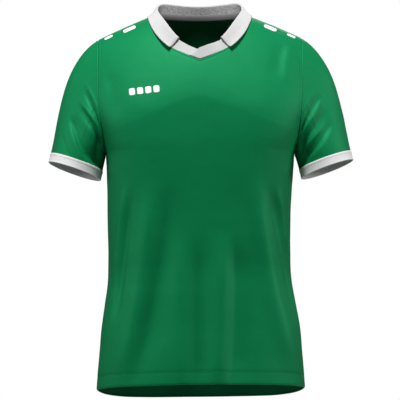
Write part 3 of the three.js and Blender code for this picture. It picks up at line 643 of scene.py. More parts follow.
def seam_distances(rows, closed):
    """How far each point of a grid of points lies from the nearest seam, along its row or column."""
    count = len(rows[0])
    columns = [lengths_along([row[c] for row in reversed(rows)]) for c in range(count)]
    found = []
    for r, row in enumerate(rows):
        lengths = lengths_along(row + row[:1] if closed else row)
        total = lengths[-1]
        line = []
        for c in range(count):
            top = columns[c][len(rows) - 1 - r]
            line.append(min(lengths[c], total - lengths[c], top))
        found.append(line)
    return found


def surface(rows, cloth, closed=False, flip=False):
    """Quads over rows of points, open or closed into rings. The cloth rows hold each point's place on the
    flat cloth, with one more column where the rows are closed."""
    across = len(rows[0])
    faces = []
    places = []
    for r in range(len(rows) - 1):
        for c in range(across if closed else across - 1):
            d = (c + 1) % across
            quad = [r * across + c, r * across + d, (r + 1) * across + d, (r + 1) * across + c]
            flat = [cloth[r][c], cloth[r][c + 1], cloth[r + 1][c + 1], cloth[r + 1][c]]
            faces.append(quad[::-1] if flip else quad)
            places.append(flat[::-1] if flip else flat)
    return {"points": [p for row in rows for p in row], "faces": faces, "places": places}


def place_key(p):
    return (round(p.x, 3), round(p.y, 3), round(p.z, 3))


def shared_normals(surfaces):
    """Normals at the points of surfaces that are sewn together, shared where the points meet."""
    sums = {}
    keys = [[place_key(p) for p in s["points"]] for s in surfaces]
    for s, names in zip(surfaces, keys):
        points = s["points"]
        for a, b, c, d in s["faces"]:
            normal = (points[c] - points[a]).cross(points[d] - points[b])
            if normal.length_squared > 0:
                normal.normalize()
            for corner in (a, b, c, d):
                key = names[corner]
                if key in sums:
                    sums[key] += normal
                else:
                    sums[key] = normal.copy()
    return [[sums[key].normalized() for key in names] for names in keys]


def wall(outer, normals, thickness, rounded=lambda a, b: False):
    """A closed wall: a surface, a second layer inside it and a rim, rounded out on its free edges.
    Thickness is one number or one for each point."""
    points, faces, places = outer["points"], outer["faces"], outer["places"]
    count = len(points)
    edges = {}
    leans = [1.0] * count
    for f, face in enumerate(faces):
        a, b, c, d = (points[corner] for corner in face)
        normal = (c - a).cross(d - b).normalized()
        for i, corner in enumerate(face):
            leans[corner] = min(leans[corner], normal.dot(normals[corner]))
            edges[(corner, face[(i + 1) % 4])] = (f, i)
    inner = []
    for i, p in enumerate(points):
        mitre = min(1 / max(leans[i], 0.1), LONGEST_MITRE)
        inner.append(p - normals[i] * ((thickness[i] if isinstance(thickness, list) else thickness) * mitre))
    all_points = points + inner
    inside = [0.0] * count + [1.0] * count
    all_faces = faces + [[count + corner for corner in reversed(face)] for face in faces]
    all_places = places + [place[::-1] for place in places]
    rim = [(edge, at) for edge, at in edges.items() if (edge[1], edge[0]) not in edges]
    outward = {}
    for (a, b), _ in rim:
        way = (points[b] - points[a]).normalized()
        for corner in (a, b):
            out = way.cross(normals[corner]).normalized()
            outward[corner] = outward[corner] + out if corner in outward else out
    middle = {}
    for (a, b), _ in rim:
        for corner in (a, b):
            if rounded(a, b) and corner not in middle:
                bulge = outward[corner].normalized() * ((points[corner] - inner[corner]).length * 0.4)
                middle[corner] = len(all_points)
                inside.append(0.5)
                all_points.append((points[corner] + inner[corner]) / 2 + bulge)
    for (a, b), (f, i) in rim:
        flat = [places[f][(i + 1) % 4], places[f][i]] + [places[f][i], places[f][(i + 1) % 4]]
        if rounded(a, b):
            all_faces.append([b, a, middle[a], middle[b]])
            all_faces.append([middle[b], middle[a], count + a, count + b])
            all_places += [flat, flat]
        else:
            all_faces.append([b, a, count + a, count + b])
            all_places.append(flat)
    return {"points": all_points, "faces": all_faces, "places": all_places, "inside": inside}


def strip(outer, thickness):
    """The closed wall of a strip of trim, with all its free edges rounded."""
    return wall(outer, shared_normals([outer])[0], thickness, lambda a, b: True)


def make_piece(name, solid, material):
    """A mesh object from points in millimetres, with the place on the flat cloth as its UV map in metres."""
    mesh = bpy.data.meshes.new(name)
    mesh.from_pydata([p * MM for p in solid["points"]], [], solid["faces"])
    layer = mesh.uv_layers.new(name="cloth")
    corner = 0
    for flat in solid["places"]:
        for u, v in flat:
            layer.data[corner].uv = (u * MM, v * MM)
            corner += 1
    if "inside" in solid:
        mesh.attributes.new("inside", "FLOAT", "POINT").data.foreach_set("value", solid["inside"])
    mesh.polygons.foreach_set("use_smooth", [True] * len(mesh.polygons))
    mesh.materials.append(material)
    mesh.update()
    piece = bpy.data.objects.new(name, mesh)
    bpy.context.scene.collection.objects.link(piece)
    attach(piece, BODY)
    return piece


def solve_shell():
    """The body panels and sleeves with their folds, sewn together at shared points."""
    if "shell" in shape:
        return
    shape["grids"] = {side: body_grid(side) for side in SIDES}
    sheets = {}
    rises = {}
    for side, rows in shape["grids"].items():
        folds = body_folds(side)
        points = [[p for p, _ in row] for row in rows]
        away = seam_distances(points, False)
        cloth = [[(across, p.z) for p, across in row] for row in rows]
        sheets[side] = surface(points, cloth, flip=side == "back")
        lifts = []
        for r, row in enumerate(rows):
            height = HEM_STEPS[r] if r < len(HEM_STEPS) else math.inf
            for c, (p, across) in enumerate(row):
                calm = ease(away[r][c] / SEAM_CALM)
                rise = calm * sum(fold_rise(fold, across, p.z) for fold in folds)
                lifts.append(rise + bumps(SEAM_PROFILE, away[r][c]) + bumps(HEM_PROFILE, height))
        rises[side] = lifts
    for hand, name in ((1, "sleeve_left"), (-1, "sleeve_right")):
        rows = sleeve_grid(hand)
        folds = sleeve_folds(hand)
        points = [[p for p, _, _ in row] for row in rows]
        away = seam_distances(points[::-1], True)[::-1]
        lengths = lengths_along(points[0] + points[0][:1])
        cloth = [[(length, -row[0][2] * SLEEVE_LENGTH) for length in lengths] for row in rows]
        sheets[name] = surface(points, cloth, closed=True, flip=hand < 0)
        lifts = []
        for r, row in enumerate(rows):
            for c, (p, around, down) in enumerate(row):
                calm = ease(down / SLEEVE_CALM[0]) * ease((1 - down) / SLEEVE_CALM[1])
                rise = calm * sum(fold_rise(fold, around, down) for fold in folds)
                lifts.append(rise + bumps(SEAM_PROFILE, away[r][c]))
        rises[name] = lifts
    names = list(sheets)
    flat_normals = shared_normals([sheets[name] for name in names])
    for name, normals in zip(names, flat_normals):
        points = sheets[name]["points"]
        moved = []
        for p, normal, rise in zip(points, normals, rises[name]):
            moved.append(p + normal * (rise + drift(p)))
        sheets[name]["points"] = moved
    shape["normals"] = dict(zip(names, shared_normals([sheets[name] for name in names])))
    shape["shell"] = sheets


def neck_lines(hand):
    """The neck on one hand, from the centre front to the centre back."""

    def on_body(side, place, lift=0.0):
        x, z = place
        at = body_point(side, hand * x, z)
        normal = body_normal(side, hand * x, min(z, ridge_z(x) - 1.5))
        on_ridge = clamp(1 - abs(at.y) / LEAF_SHOULDER_REACH)
        normal.y *= 1 - on_ridge**3
        return at + normal.normalized() * (lift and lift + LEAF_SHOULDER_LIFT * on_ridge)

    rows = neck_rows()
    seam = [on_body(row["side"], row["seam"]) for row in rows]
    fold = [Vector((hand * row["fold"].x, row["fold"].y, row["fold"].z)) for row in rows]
    last = len(rows) - 1
    out = []
    for i in range(last + 1):
        along = fold[min(i + 1, last)] - fold[max(i - 1, 0)]
        out.append((along.cross(fold[i] - seam[i]) * hand).normalized())
    return {"rows": rows, "seam": seam, "fold": fold, "out": out, "on": on_body}


def both_hands(pick):
    """Both hands of the neck in one list, from the wearer's left centre front round the back to the right."""
    left = pick(neck_lines(1), 1)
    right = pick(neck_lines(-1), -1)
    return left + right[:-1][::-1]


def cloth_places(rows):
    """Places on the flat cloth for a strip's rows: the way along its first row and down its first column."""
    along = lengths_along(rows[len(rows) // 2])
    down = lengths_along([row[0] for row in rows])
    return [[(a, d) for a in along] for d in down]


def neck_band_surface(trim):
    """The neck band from its seam to its top edge, with the wearer's left end lapped over the right."""
    seam = both_hands(lambda lines, hand: lines["seam"])
    fold = both_hands(lambda lines, hand: lines["fold"])
    lift = trim + LAP_GAP

    def on_chest(x, z, rise):
        return body_point("front", x, z) + body_normal("front", x, z) * rise

    rows = neck_rows()
    ramp = LEAF_FIRST_ROW * NECK_STEPS
    fold[-1] = on_chest(0, rows[0]["fold"].z, -LAP_TILT)
    for k in range(ramp):
        rise = lift * ease(1 - k / ramp)
        seam[k] = on_chest(*rows[k]["seam"], rise)
        x, z = rows[k]["fold"].x, rows[k]["fold"].z
        tilt = LAP_TILT * ease(1.6 * (1 - k / ramp))
        fold[k] = on_chest(x, z, rise + tilt)
        if k > 0:
            fold[-1 - k] = on_chest(-x, z, -tilt)
    for k in range(1, NECK_STEPS + 1):
        share = k / NECK_STEPS
        x, z = rows[k]["seam"]
        seam.insert(0, on_chest(-x, z, lift))
        top = NECK[0][2]
        fold.insert(0, on_chest(LAP_END[0] * share, top[1] + LAP_END[1] * share, lift + LAP_TILT))
    grid = [[p.lerp(f, t) for p, f in zip(seam, fold)] for t in BAND_STEPS]
    return surface(grid, cloth_places(grid))


def collar_surface(trim):
    """The collar: from the band's top edge it rolls over to the outside and falls to its lower edge."""
    def columns(lines, hand):
        found = []
        for i, row in enumerate(lines["rows"]):
            if row["edge"] is None:
                continue
            side, start, end = row["side"], row["seam"], row["edge"]
            top, seam, out = lines["fold"][i], lines["seam"][i], lines["out"][i]
            up = (top - seam).normalized()
            near_end = ease(1 - (row["at"] - LEAF_FIRST_ROW) / LEAF_END_ROWS)
            roll = LEAF_ROLL + trim + LEAF_END_ROLL * near_end
            points = [top + up * LEAF_CUT_BACK - out * trim]
            for s in range(LEAF_ROLL_STEPS + 1):
                turn = math.pi * s / LEAF_ROLL_STEPS
                rise = LEAF_CUT_BACK + LEAF_FOOT + (LEAF_ROLL + trim) * math.sin(turn)
                points.append(top + up * rise + out * (roll - trim - roll * math.cos(turn)))
            last = lines["on"](side, end, LEAF_LIFT)
            above = (lerp(end[0], start[0], 0.3), lerp(end[1], start[1], 0.3))
            above_last = lines["on"](side, above, LEAF_LIFT)
            normal = (last - lines["on"](side, end)).normalized()
            last += normal * (LEAF_END_LIFT * near_end)
            first = points[-1]
            width = (last - first).length
            leave = -up * (width * LEAF_FALL)
            arrive = (last - above_last).normalized() * width
            for s in range(LEAF_FALL_STEPS):
                points.append(hermite(first, last, leave, arrive, (s + 1) / LEAF_FALL_STEPS))
            found.append(points)
        return found

    lines = both_hands(columns)
    grid = [list(row) for row in zip(*lines)]
    return surface(grid, cloth_places(grid), flip=True)


def tape_surface():
    """The neck tape, inside the back neck seam."""

    def columns(lines, hand):
        found = []
        for i, row in enumerate(lines["rows"]):
            if row["at"] < TAPE_FIRST_ROW:
                continue
            seam, top = lines["seam"][i], lines["fold"][i]
            x, z = row["seam"]
            above = seam.lerp(top, TAPE_ABOVE / (top - seam).length)
            below = body_point("back", hand * x, z - TAPE_BELOW)
            found.append([below, below.lerp(seam, 0.5), seam, seam.lerp(above, 0.5), above])
        return found

    lines = both_hands(columns)
    grid = [list(row) for row in zip(*lines)]
    return surface(grid, cloth_places(grid))


def cuff_surface(hand):
    """A cuff's rings from its upper edge to its lower one, thicker along both edges."""
    heights = [CUFF_HEIGHT + CUFF_OVER - step for step in CUFF_STEPS] + list(reversed(CUFF_STEPS))
    ring = armhole(hand)
    shares = [share for _, _, share in ring]
    rows = []
    for above in heights:
        edge = min(CUFF_HEIGHT - above, above)
        out = CUFF_STAND + bumps(CUFF_EDGE, edge)
        rows.append([cuff_point(hand, share, above, out) for share in shares])
    lengths = lengths_along(rows[0] + rows[0][:1])
    cloth = [[(length, above) for length in lengths] for above in heights]
    return surface(rows, cloth, closed=True, flip=hand < 0)


def stitch(solid, start, end, normal):
    """Adds one stitch of thread between two points, with pointed ends and a slight arch."""
    sides = THREAD_SIDES
    way = end - start
    across = way.cross(normal).normalized()
    first = len(solid["points"])
    solid["points"].append(start.copy())
    for t, size in THREAD_RINGS:
        centre = start + way * t + normal * (THREAD_ARCH * math.sin(math.pi * t))
        for k in range(sides):
            turn = 2 * math.pi * k / sides
            off = across * math.cos(turn) + normal * math.sin(turn)
            solid["points"].append(centre + off * (THREAD_RADIUS * size))
    solid["points"].append(end.copy())
    last = first + 3 * sides + 1
    for k in range(sides):
        n = (k + 1) % sides
        solid["faces"].append([first, first + 1 + n, first + 1 + k])
        for ring in range(2):
            low = first + 1 + ring * sides
            solid["faces"].append([low + k, low + n, low + sides + n, low + sides + k])
        solid["faces"].append([last, last - sides + k, last - sides + n])


def stitch_row(solid, points, normals, pitch, lift):
    """Stitches along a line on the cloth, each a little shorter than the pitch."""
    lengths = lengths_along(points)
    count = int(lengths[-1] / pitch)
    wanted = [lengths[-1] * i / count for i in range(count + 1)]
    places = at_lengths(points, lengths, wanted)
    at_normals = at_lengths(normals, lengths, wanted)
    for i in range(count):
        start, end = places[i], places[i + 1]
        normal = at_normals[i].normalized()
        raised = normal * lift
        stitch(solid, start.lerp(end, STITCH_GAP) + raised, start.lerp(end, 1 - STITCH_GAP) + raised, normal)


def thread_piece(name, solid, material):
    solid["places"] = [[(0, 0)] * len(face) for face in solid["faces"]]
    return make_piece(name, solid, material)


def rounded_patch(wide, high, corner):
    """The places of a flat patch with round corners, as rows from below."""
    rows = []
    count = max(int(high / PATCH_STEP), PATCH_PARTS)
    for r in range(count + 1):
        v = -high / 2 + high * r / count
        inset = max(0.0, abs(v) - (high / 2 - corner))
        half = wide / 2 - corner + math.sqrt(max(corner**2 - inset**2, 0))
        columns = max(int(wide / PATCH_STEP), PATCH_PARTS)
        rows.append([(-half + 2 * half * c / columns, v) for c in range(columns + 1)])
    return rows


def laid_patch(tree, centre, turn, wide, high, corner):
    """A thin patch laid on the front panel around the place seen at x, z."""
    rows = []
    cloth = rounded_patch(wide, high, corner)
    for line in cloth:
        row = []
        for u, v in line:
            x = centre[0] + u * math.cos(turn) - v * math.sin(turn)
            z = centre[1] + u * math.sin(turn) + v * math.cos(turn)
            hit, normal, _, _ = tree.ray_cast(Vector((x, BEFORE_CHEST, z)), Vector((0, 1, 0)))
            if hit is None:
                raise RuntimeError(f"no cloth under the mark at {x:.0f}, {z:.0f}")
            row.append(hit + normal * MARK_LIFT)
        rows.append(row)
    top = surface(rows, cloth)
    return wall(top, shared_normals([top])[0], MARK_THICKNESS)


def joined(solids):
    whole = {"points": [], "faces": [], "places": [], "inside": []}
    for solid in solids:
        first = len(whole["points"])
        whole["points"] += solid["points"]
        whole["faces"] += [[first + corner for corner in face] for face in solid["faces"]]
        whole["places"] += solid["places"]
        whole["inside"] += solid["inside"]
    return whole


def node(tree, kind, **values):
    """A new shader node with its settings and unlinked inputs set by name."""
    made = tree.nodes.new(kind)
    for key, value in values.items():
        if key in made.inputs:
            made.inputs[key].default_value = value
        else:
            setattr(made, key, value)
    return made


def maths(tree, operation, first, second=None, clamped=False):
    made = tree.nodes.new("ShaderNodeMath")
    made.operation = operation
    made.use_clamp = clamped
    for socket, value in zip(made.inputs, (first, second)):
        if isinstance(value, (int, float)):
            socket.default_value = value
        elif value is not None:
            tree.links.new(value, socket)
    return made.outputs[0]


def darker(colour, share):
    return [part * share for part in colour[:3]] + [1]


def blend(tree, factor, first, second):
    """The output of a mix of two colours, each given as a colour or a socket."""
    mix = node(tree, "ShaderNodeMix", data_type="RGBA")
    tree.links.new(factor, mix.inputs["Factor"])
    for key, value in (("A", first), ("B", second)):
        if isinstance(value, bpy.types.NodeSocket):
            tree.links.new(value, mix.inputs[key])
        else:
            mix.inputs[key].default_value = value
    return next(socket for socket in mix.outputs if socket.type == "RGBA")


def cloth_material(name, colour, inner, roughness, shine, wales, courses, depth, mottle, patches=0.2):
    """Knitted cloth: rows of stitches from the cloth's own UV map, in metres, with a soft uneven tone, partly
    random and partly painted shade in the grooves.
    Inner is the colour of its inner side and patches how far that is mottled. Wales and courses are the
    stitch's width and height, and shine is the level and tint of its gloss. Pieces share it by its name."""
    if name in bpy.data.materials:
        return bpy.data.materials[name]
    material = bpy.data.materials.new(name)
    material.use_nodes = True
    tree = material.node_tree
    shader = tree.nodes["Principled BSDF"]
    shader.inputs["Roughness"].default_value = roughness
    shader.inputs["Specular IOR Level"].default_value = shine[0]
    shader.inputs["Specular Tint"].default_value = shine[1]
    flat = tree.nodes.new("ShaderNodeUVMap")
    flat.uv_map = "cloth"
    parts = tree.nodes.new("ShaderNodeSeparateXYZ")
    tree.links.new(flat.outputs[0], parts.inputs[0])
    across = maths(tree, "MULTIPLY", parts.outputs[0], 2 * math.pi / wales)
    down = maths(tree, "MULTIPLY", parts.outputs[1], 2 * math.pi / courses)
    # Each stitch is a V: the courses lean up on one side of a wale and down on the other.
    ribs = maths(tree, "ABSOLUTE", maths(tree, "SINE", maths(tree, "MULTIPLY", across, 0.5)))
    lean = maths(tree, "MULTIPLY", maths(tree, "COSINE", across), 1.4)
    loops = maths(tree, "SINE", maths(tree, "ADD", down, lean))
    loops = maths(tree, "MULTIPLY", maths(tree, "ADD", loops, 1), 0.5)
    height = maths(tree, "MULTIPLY", ribs, maths(tree, "ADD", maths(tree, "MULTIPLY", loops, 0.5), 0.5))
    bump = tree.nodes.new("ShaderNodeBump")
    bump.inputs["Strength"].default_value = 0.5
    bump.inputs["Distance"].default_value = depth
    tree.links.new(height, bump.inputs["Height"])
    tree.links.new(bump.outputs[0], shader.inputs["Normal"])
    place = tree.nodes.new("ShaderNodeTexCoord")
    cloud = node(tree, "ShaderNodeTexNoise", Scale=mottle, Detail=4.0, Roughness=0.6)
    tree.links.new(place.outputs["Object"], cloud.inputs["Vector"])
    tone = maths(tree, "MULTIPLY", cloud.outputs[0], 0.5)
    # Low parts of the stitch pattern are painted darker, as shade in the knit's grooves; the cloud adds
    # random tone.
    tone = maths(tree, "ADD", tone, maths(tree, "MULTIPLY", height, 0.45), clamped=True)
    outer_side = blend(tree, tone, darker(colour, 1 - OUTER_MOTTLE_AND_GROOVE_SHADE), colour)
    wide_cloud = node(tree, "ShaderNodeTexNoise", Scale=mottle * 3, Detail=3.0, Roughness=0.65)
    tree.links.new(place.outputs["Object"], wide_cloud.inputs["Vector"])
    spread = maths(tree, "MULTIPLY", maths(tree, "SUBTRACT", wide_cloud.outputs[0], 0.3), 2.5, clamped=True)
    inner_side = blend(tree, spread, darker(inner, 1 - patches), inner)
    side = tree.nodes.new("ShaderNodeAttribute")
    side.attribute_name = "inside"
    base = blend(tree, side.outputs["Fac"], outer_side, inner_side)
    tree.links.new(base, shader.inputs["Base Color"])
    return material


def knit(cloth):
    # The inner side is painted half as light as the outer, as shade inside the garment.
    inner = darker(cloth.colour, 0.5)
    shine = (cloth.gloss, GREEN_SHINE)
    stitches = (cloth.wales, cloth.courses)
    return cloth_material("green_knit", cloth.colour, inner, cloth.roughness, shine, *stitches, 0.00012, 60)


def trim_knit(trim):
    # The inner side is painted darker than the outer, as shade inside the cuffs.
    inner = darker(trim.colour, 0.75)
    return cloth_material("white_knit", trim.colour, inner, 0.7, PLAIN_SHINE, *TRIM_STITCHES, 0.00014, 90)


def neck_knit(trim):
    """The doubled cloth of the neck band and collar, painted darker than the cuffs as shade, with its inner
    side painted grey as shade.
    """
    look = (darker(trim.colour, trim.neck_painted_shade), trim.neck_inner_painted_shade, 0.8, PLAIN_SHINE, *TRIM_STITCHES)
    return cloth_material("brushed_neck_knit", *look, 0.00014, 90, patches=0.6)


def tape_weave(trim):
    look = (trim.tape_colour, trim.tape_colour, 0.8, PLAIN_SHINE, *TAPE_STITCHES)
    return cloth_material("woven_tape", *look, 0.0001, 90)


def print_material(trim):
    name = "white_print"
    if name in bpy.data.materials:
        return bpy.data.materials[name]
    material = bpy.data.materials.new(name)
    material.use_nodes = True
    tree = material.node_tree
    shader = tree.nodes["Principled BSDF"]
    shader.inputs["Roughness"].default_value = 0.45
    place = tree.nodes.new("ShaderNodeTexCoord")
    cloud = node(tree, "ShaderNodeTexNoise", Scale=700.0, Detail=2.0)
    tree.links.new(place.outputs["Object"], cloud.inputs["Vector"])
    base = blend(tree, cloud.outputs[0], darker(trim.colour, 0.9), trim.colour)
    tree.links.new(base, shader.inputs["Base Color"])
    return material


class JerseyCloth(bpy.types.PropertyGroup):
    colour: bpy.props.FloatVectorProperty(
        name="Colour",
        description="Colour of the knitted body and sleeves",
        subtype="COLOR",
        size=4,
        min=0,
        max=1,
        default=(0.0015, 0.2, 0.064, 1),
    )
    thickness: bpy.props.FloatProperty(
        name="Thickness", description="Wall of the body and sleeves", unit="LENGTH", default=1.5 * MM
    )
    hem: bpy.props.FloatProperty(
        name="Hem thickness", description="Wall where the hem is turned up", unit="LENGTH", default=2.4 * MM
    )
    wales: bpy.props.FloatProperty(
        name="Stitch width", description="Width of one knitted stitch", unit="LENGTH", default=1.0 * MM
    )
    courses: bpy.props.FloatProperty(
        name="Stitch height", description="Height of one knitted stitch", unit="LENGTH", default=0.8 * MM
    )
    roughness: bpy.props.FloatProperty(
        name="Roughness", description="Roughness of the knit", subtype="FACTOR", default=0.58
    )
    gloss: bpy.props.FloatProperty(
        name="Gloss", description="Strength of the knit's gloss", subtype="FACTOR", default=0.6
    )


class JerseyTrim(bpy.types.PropertyGroup):
    colour: bpy.props.FloatVectorProperty(
        name="Colour",
        description="Colour of the collar, neck band and cuffs",
        subtype="COLOR",
        size=4,
        min=0,
        max=1,
        default=(0.92, 0.92, 0.92, 1),
    )
    # The neck band and collar are painted this share as light as the cuffs' white, as painted shade.
    neck_painted_shade: bpy.props.FloatProperty(
        name="Neck shade",
        description="How light the collar is beside the cuffs",
        subtype="FACTOR",
        default=0.62,
    )
    # The inner side of the neck band and collar is painted this grey as shade; its patches are random mottle.
    neck_inner_painted_shade: bpy.props.FloatVectorProperty(
        name="Inner neck colour",
        description="Colour of the inner side of the neck band",
        subtype="COLOR",
        size=4,
        min=0,
        max=1,
        default=(0.48, 0.48, 0.48, 1),
    )
    tape_colour: bpy.props.FloatVectorProperty(
        name="Tape colour",
        description="Colour of the neck tape",
        subtype="COLOR",
        size=4,
        min=0,
        max=1,
        default=(0.2, 0.2, 0.2, 1),
    )
    thickness: bpy.props.FloatProperty(
        name="Thickness", description="Doubled cloth of the trim", unit="LENGTH", default=2 * MM
    )
    tape_thickness: bpy.props.FloatProperty(
        name="Tape thickness", description="Thickness of the neck tape", unit="LENGTH", default=1 * MM
    )
    stitch_pitch: bpy.props.FloatProperty(
        name="Stitch pitch", description="Length of one sewn stitch", unit="LENGTH", default=2.8 * MM
    )


class JerseyStage(bpy.types.PropertyGroup):
    floor: bpy.props.FloatProperty(
        name="Floor height", description="Height of the floor", unit="LENGTH", default=-1.45
    )
    aim: bpy.props.FloatProperty(
        name="Aim height", description="Height that the camera looks at", unit="LENGTH", default=-0.365
    )
    aside: bpy.props.FloatProperty(
        name="Aim aside",
        description="How far the aim lies to the wearer's left",
        unit="LENGTH",
        default=-0.0024,
    )
    distance: bpy.props.FloatProperty(
        name="Camera distance", description="From the camera to its aim", unit="LENGTH", default=8
    )
    elevation: bpy.props.FloatProperty(
        name="Elevation", description="Camera above its aim", subtype="ANGLE", default=math.radians(-5)
    )
    roll: bpy.props.FloatProperty(
        name="Roll",
        description="Turn of the camera about its own axis",
        subtype="ANGLE",
        default=math.radians(-0.45),
    )
    lens: bpy.props.FloatProperty(
        name="Lens", description="Focal length in millimetres", default=360
    )


class JERSEY_OT_stage(bpy.types.Operator):
    """Makes the camera, the floor, the lights and the pale surroundings"""

    bl_idname = "jersey.stage"
    bl_label = "Stage"

    def execute(self, context):
        stage = context.scene.jersey_stage
        camera = bpy.data.objects.new("camera", bpy.data.cameras.new("camera"))
        context.scene.collection.objects.link(camera)
        context.scene.camera = camera
        camera.data.lens = stage.lens
        camera.data.clip_end = 60
        back = Vector((0, -math.cos(stage.elevation), math.sin(stage.elevation)))
        camera.location = Vector((stage.aside, 0, stage.aim)) + back * stage.distance
        turned = (-back).to_track_quat("-Z", "Y").to_matrix().to_4x4()
        camera.rotation_euler = (turned @ Matrix.Rotation(stage.roll, 4, "Z")).to_euler()

        bpy.ops.mesh.primitive_plane_add(size=30, location=(0, 0, stage.floor))
        floor = context.object
        floor.name = "floor"
        floor.data.materials.append(self.floor_material())

        for name, place, aim, size, power in LIGHTS:
            self.add_light(name, place, aim, size, power)
        self.set_world(context.scene)
        context.scene.view_settings.view_transform = "Standard"
        return {"FINISHED"}

    def floor_material(self):
        material = bpy.data.materials.new("pale_floor")
        material.use_nodes = True
        shader = material.node_tree.nodes["Principled BSDF"]
        shader.inputs["Base Color"].default_value = (0.5, 0.5, 0.5, 1)
        shader.inputs["Roughness"].default_value = 0.9
        return material

    def add_light(self, name, place, aim, size, power):
        data = bpy.data.lights.new(name, "AREA")
        data.shape = "DISK"
        data.size = size
        data.energy = power
        light = bpy.data.objects.new(name, data)
        bpy.context.scene.collection.objects.link(light)
        light.location = place
        light.rotation_euler = (Vector(aim) - Vector(place)).to_track_quat("-Z", "Y").to_euler()

    def set_world(self, scene):
        world = bpy.data.worlds.new("pale_room")
        scene.world = world
        world.use_nodes = True
        tree = world.node_tree
        soft = tree.nodes["Background"]
        soft.inputs["Color"].default_value = (1, 1, 1, 1)
        soft.inputs["Strength"].default_value = ROOM_LIGHT
        seen = node(tree, "ShaderNodeBackground", Strength=1.0)
        seen.inputs["Color"].default_value = (1, 1, 1, 1)
        path = tree.nodes.new("ShaderNodeLightPath")
        mix = tree.nodes.new("ShaderNodeMixShader")
        tree.links.new(path.outputs["Is Camera Ray"], mix.inputs[0])
        tree.links.new(soft.outputs[0], mix.inputs[1])
        tree.links.new(seen.outputs[0], mix.inputs[2])
        tree.links.new(mix.outputs[0], tree.nodes["World Output"].inputs["Surface"])


class JERSEY_OT_body(bpy.types.Operator):
    """Makes the front and back panels with their folds and turned hem"""

    bl_idname = "jersey.body"
    bl_label = "Front and back"

    def execute(self, context):
        cloth = context.scene.jersey_cloth
        solve_shell()
        for side, flat, area in (("front", (0.6, 0.8), 0.356), ("back", (0.6, 0.82), 0.36)):
            sheet = shape["shell"][side]
            thickness = []
            for i in range(len(sheet["points"])):
                row = i // ROW_POINTS
                turned = row < len(HEM_STEPS) and HEM_STEPS[row] < HEM_TURNED
                thickness.append((cloth.hem if turned else cloth.thickness) / MM)
            solid = wall(sheet, shape["normals"][side], thickness, lambda a, b: max(a, b) < ROW_POINTS)
            piece = make_piece(f"{side}_panel", solid, knit(cloth))
            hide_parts(side)
        return {"FINISHED"}


class JERSEY_OT_sleeves(bpy.types.Operator):
    """Makes the two set-in sleeves"""

    bl_idname = "jersey.sleeves"
    bl_label = "Sleeves"

    def execute(self, context):
        cloth = context.scene.jersey_cloth
        solve_shell()
        for name in ("sleeve_left", "sleeve_right"):
            solid = wall(shape["shell"][name], shape["normals"][name], cloth.thickness / MM)
            piece = make_piece(f"{name}_cloth", solid, knit(cloth))
            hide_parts(name)
        return {"FINISHED"}


class JERSEY_OT_cuffs(bpy.types.Operator):
    """Makes the white cuffs"""

    bl_idname = "jersey.cuffs"
    bl_label = "Cuffs"

    def execute(self, context):
        trim = context.scene.jersey_trim
        solve_shell()
        for hand, name in ((1, "left"), (-1, "right")):
            solid = strip(cuff_surface(hand), trim.thickness / MM)
            piece = make_piece(f"cuff_{name}_band", solid, trim_knit(trim))
            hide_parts(f"cuff_{name}")
        return {"FINISHED"}


class JERSEY_OT_neck(bpy.types.Operator):
    """Makes the lapped neck band, the turned-down collar and the neck tape"""

    bl_idname = "jersey.neck"
    bl_label = "Neck band, collar and tape"

    def execute(self, context):
        trim = context.scene.jersey_trim
        thick = trim.thickness / MM
        solid = strip(neck_band_surface(thick), thick)
        piece = make_piece("neck_band_cloth", solid, neck_knit(trim))
        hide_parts("neck_band")
        solid = strip(collar_surface(thick), thick)
        piece = make_piece("collar_leaf", solid, neck_knit(trim))
        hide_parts("collar")
        tape = tape_surface()
        normals = shared_normals([tape])[0]
        tape["points"] = [p - n * (thick + TAPE_CLEARANCE) for p, n in zip(tape["points"], normals)]
        solid = strip(tape, trim.tape_thickness / MM)
        piece = make_piece("neck_tape_strip", solid, tape_weave(trim))
        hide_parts("neck_tape")
        return {"FINISHED"}


class JERSEY_OT_stitching(bpy.types.Operator):
    """Sews the twin rows of the hem and the rows beside the armholes, on the cuffs and along the collar"""

    bl_idname = "jersey.stitching"
    bl_label = "Stitching"

    def execute(self, context):
        cloth = context.scene.jersey_cloth
        trim = context.scene.jersey_trim
        solve_shell()
        pitch = trim.stitch_pitch / MM
        hem = {"points": [], "faces": []}
        for side in SIDES:
            points = shape["shell"][side]["points"]
            normals = shape["normals"][side]
            for height in HEM_STITCH_ROWS:
                row = HEM_STEPS.index(height)
                span = slice(row * ROW_POINTS, (row + 1) * ROW_POINTS)
                stitch_row(hem, points[span], normals[span], pitch, HEM_STITCH_LIFT)
        thread_piece("hem_stitches", hem, knit(cloth))
        armholes = {"points": [], "faces": []}
        beside = EDGE_STEPS.index(ARMHOLE_STITCH)
        for side in SIDES:
            sheet = shape["shell"][side]
            normals = shape["normals"][side]
            for column in (beside, ROW_POINTS - 1 - beside):
                span = slice(SKIRT_ROWS * ROW_POINTS + column, None, ROW_POINTS)
                stitch_row(armholes, sheet["points"][span], normals[span], pitch, HEM_STITCH_LIFT)
        thread_piece("armhole_stitches", armholes, knit(cloth))
        trims = {"points": [], "faces": []}
        for hand in (1, -1):
            rings = cuff_surface(hand)
            self.along_row(trims, rings, len(armhole(hand)), CUFF_STITCH_ROW, pitch, closed=True)
        leaf = collar_surface(trim.thickness / MM)
        leaf_columns = len(both_hands(lambda lines, hand: [row for row in lines["rows"] if row["edge"]]))
        self.along_row(trims, leaf, leaf_columns, LEAF_STITCH_ROW, pitch)
        thread_piece("trim_stitches", trims, trim_knit(trim))
        return {"FINISHED"}

    def along_row(self, solid, sheet, columns, row, pitch, closed=False):
        """Stitches along one row of a surface's points, which is counted from its last row."""
        normals = shared_normals([sheet])[0]
        start = len(sheet["points"]) - row * columns
        line = list(range(start, start + columns)) + ([start] if closed else [])
        points = [sheet["points"][i] for i in line]
        stitch_row(solid, points, [normals[i] for i in line], pitch, TRIM_STITCH_LIFT)


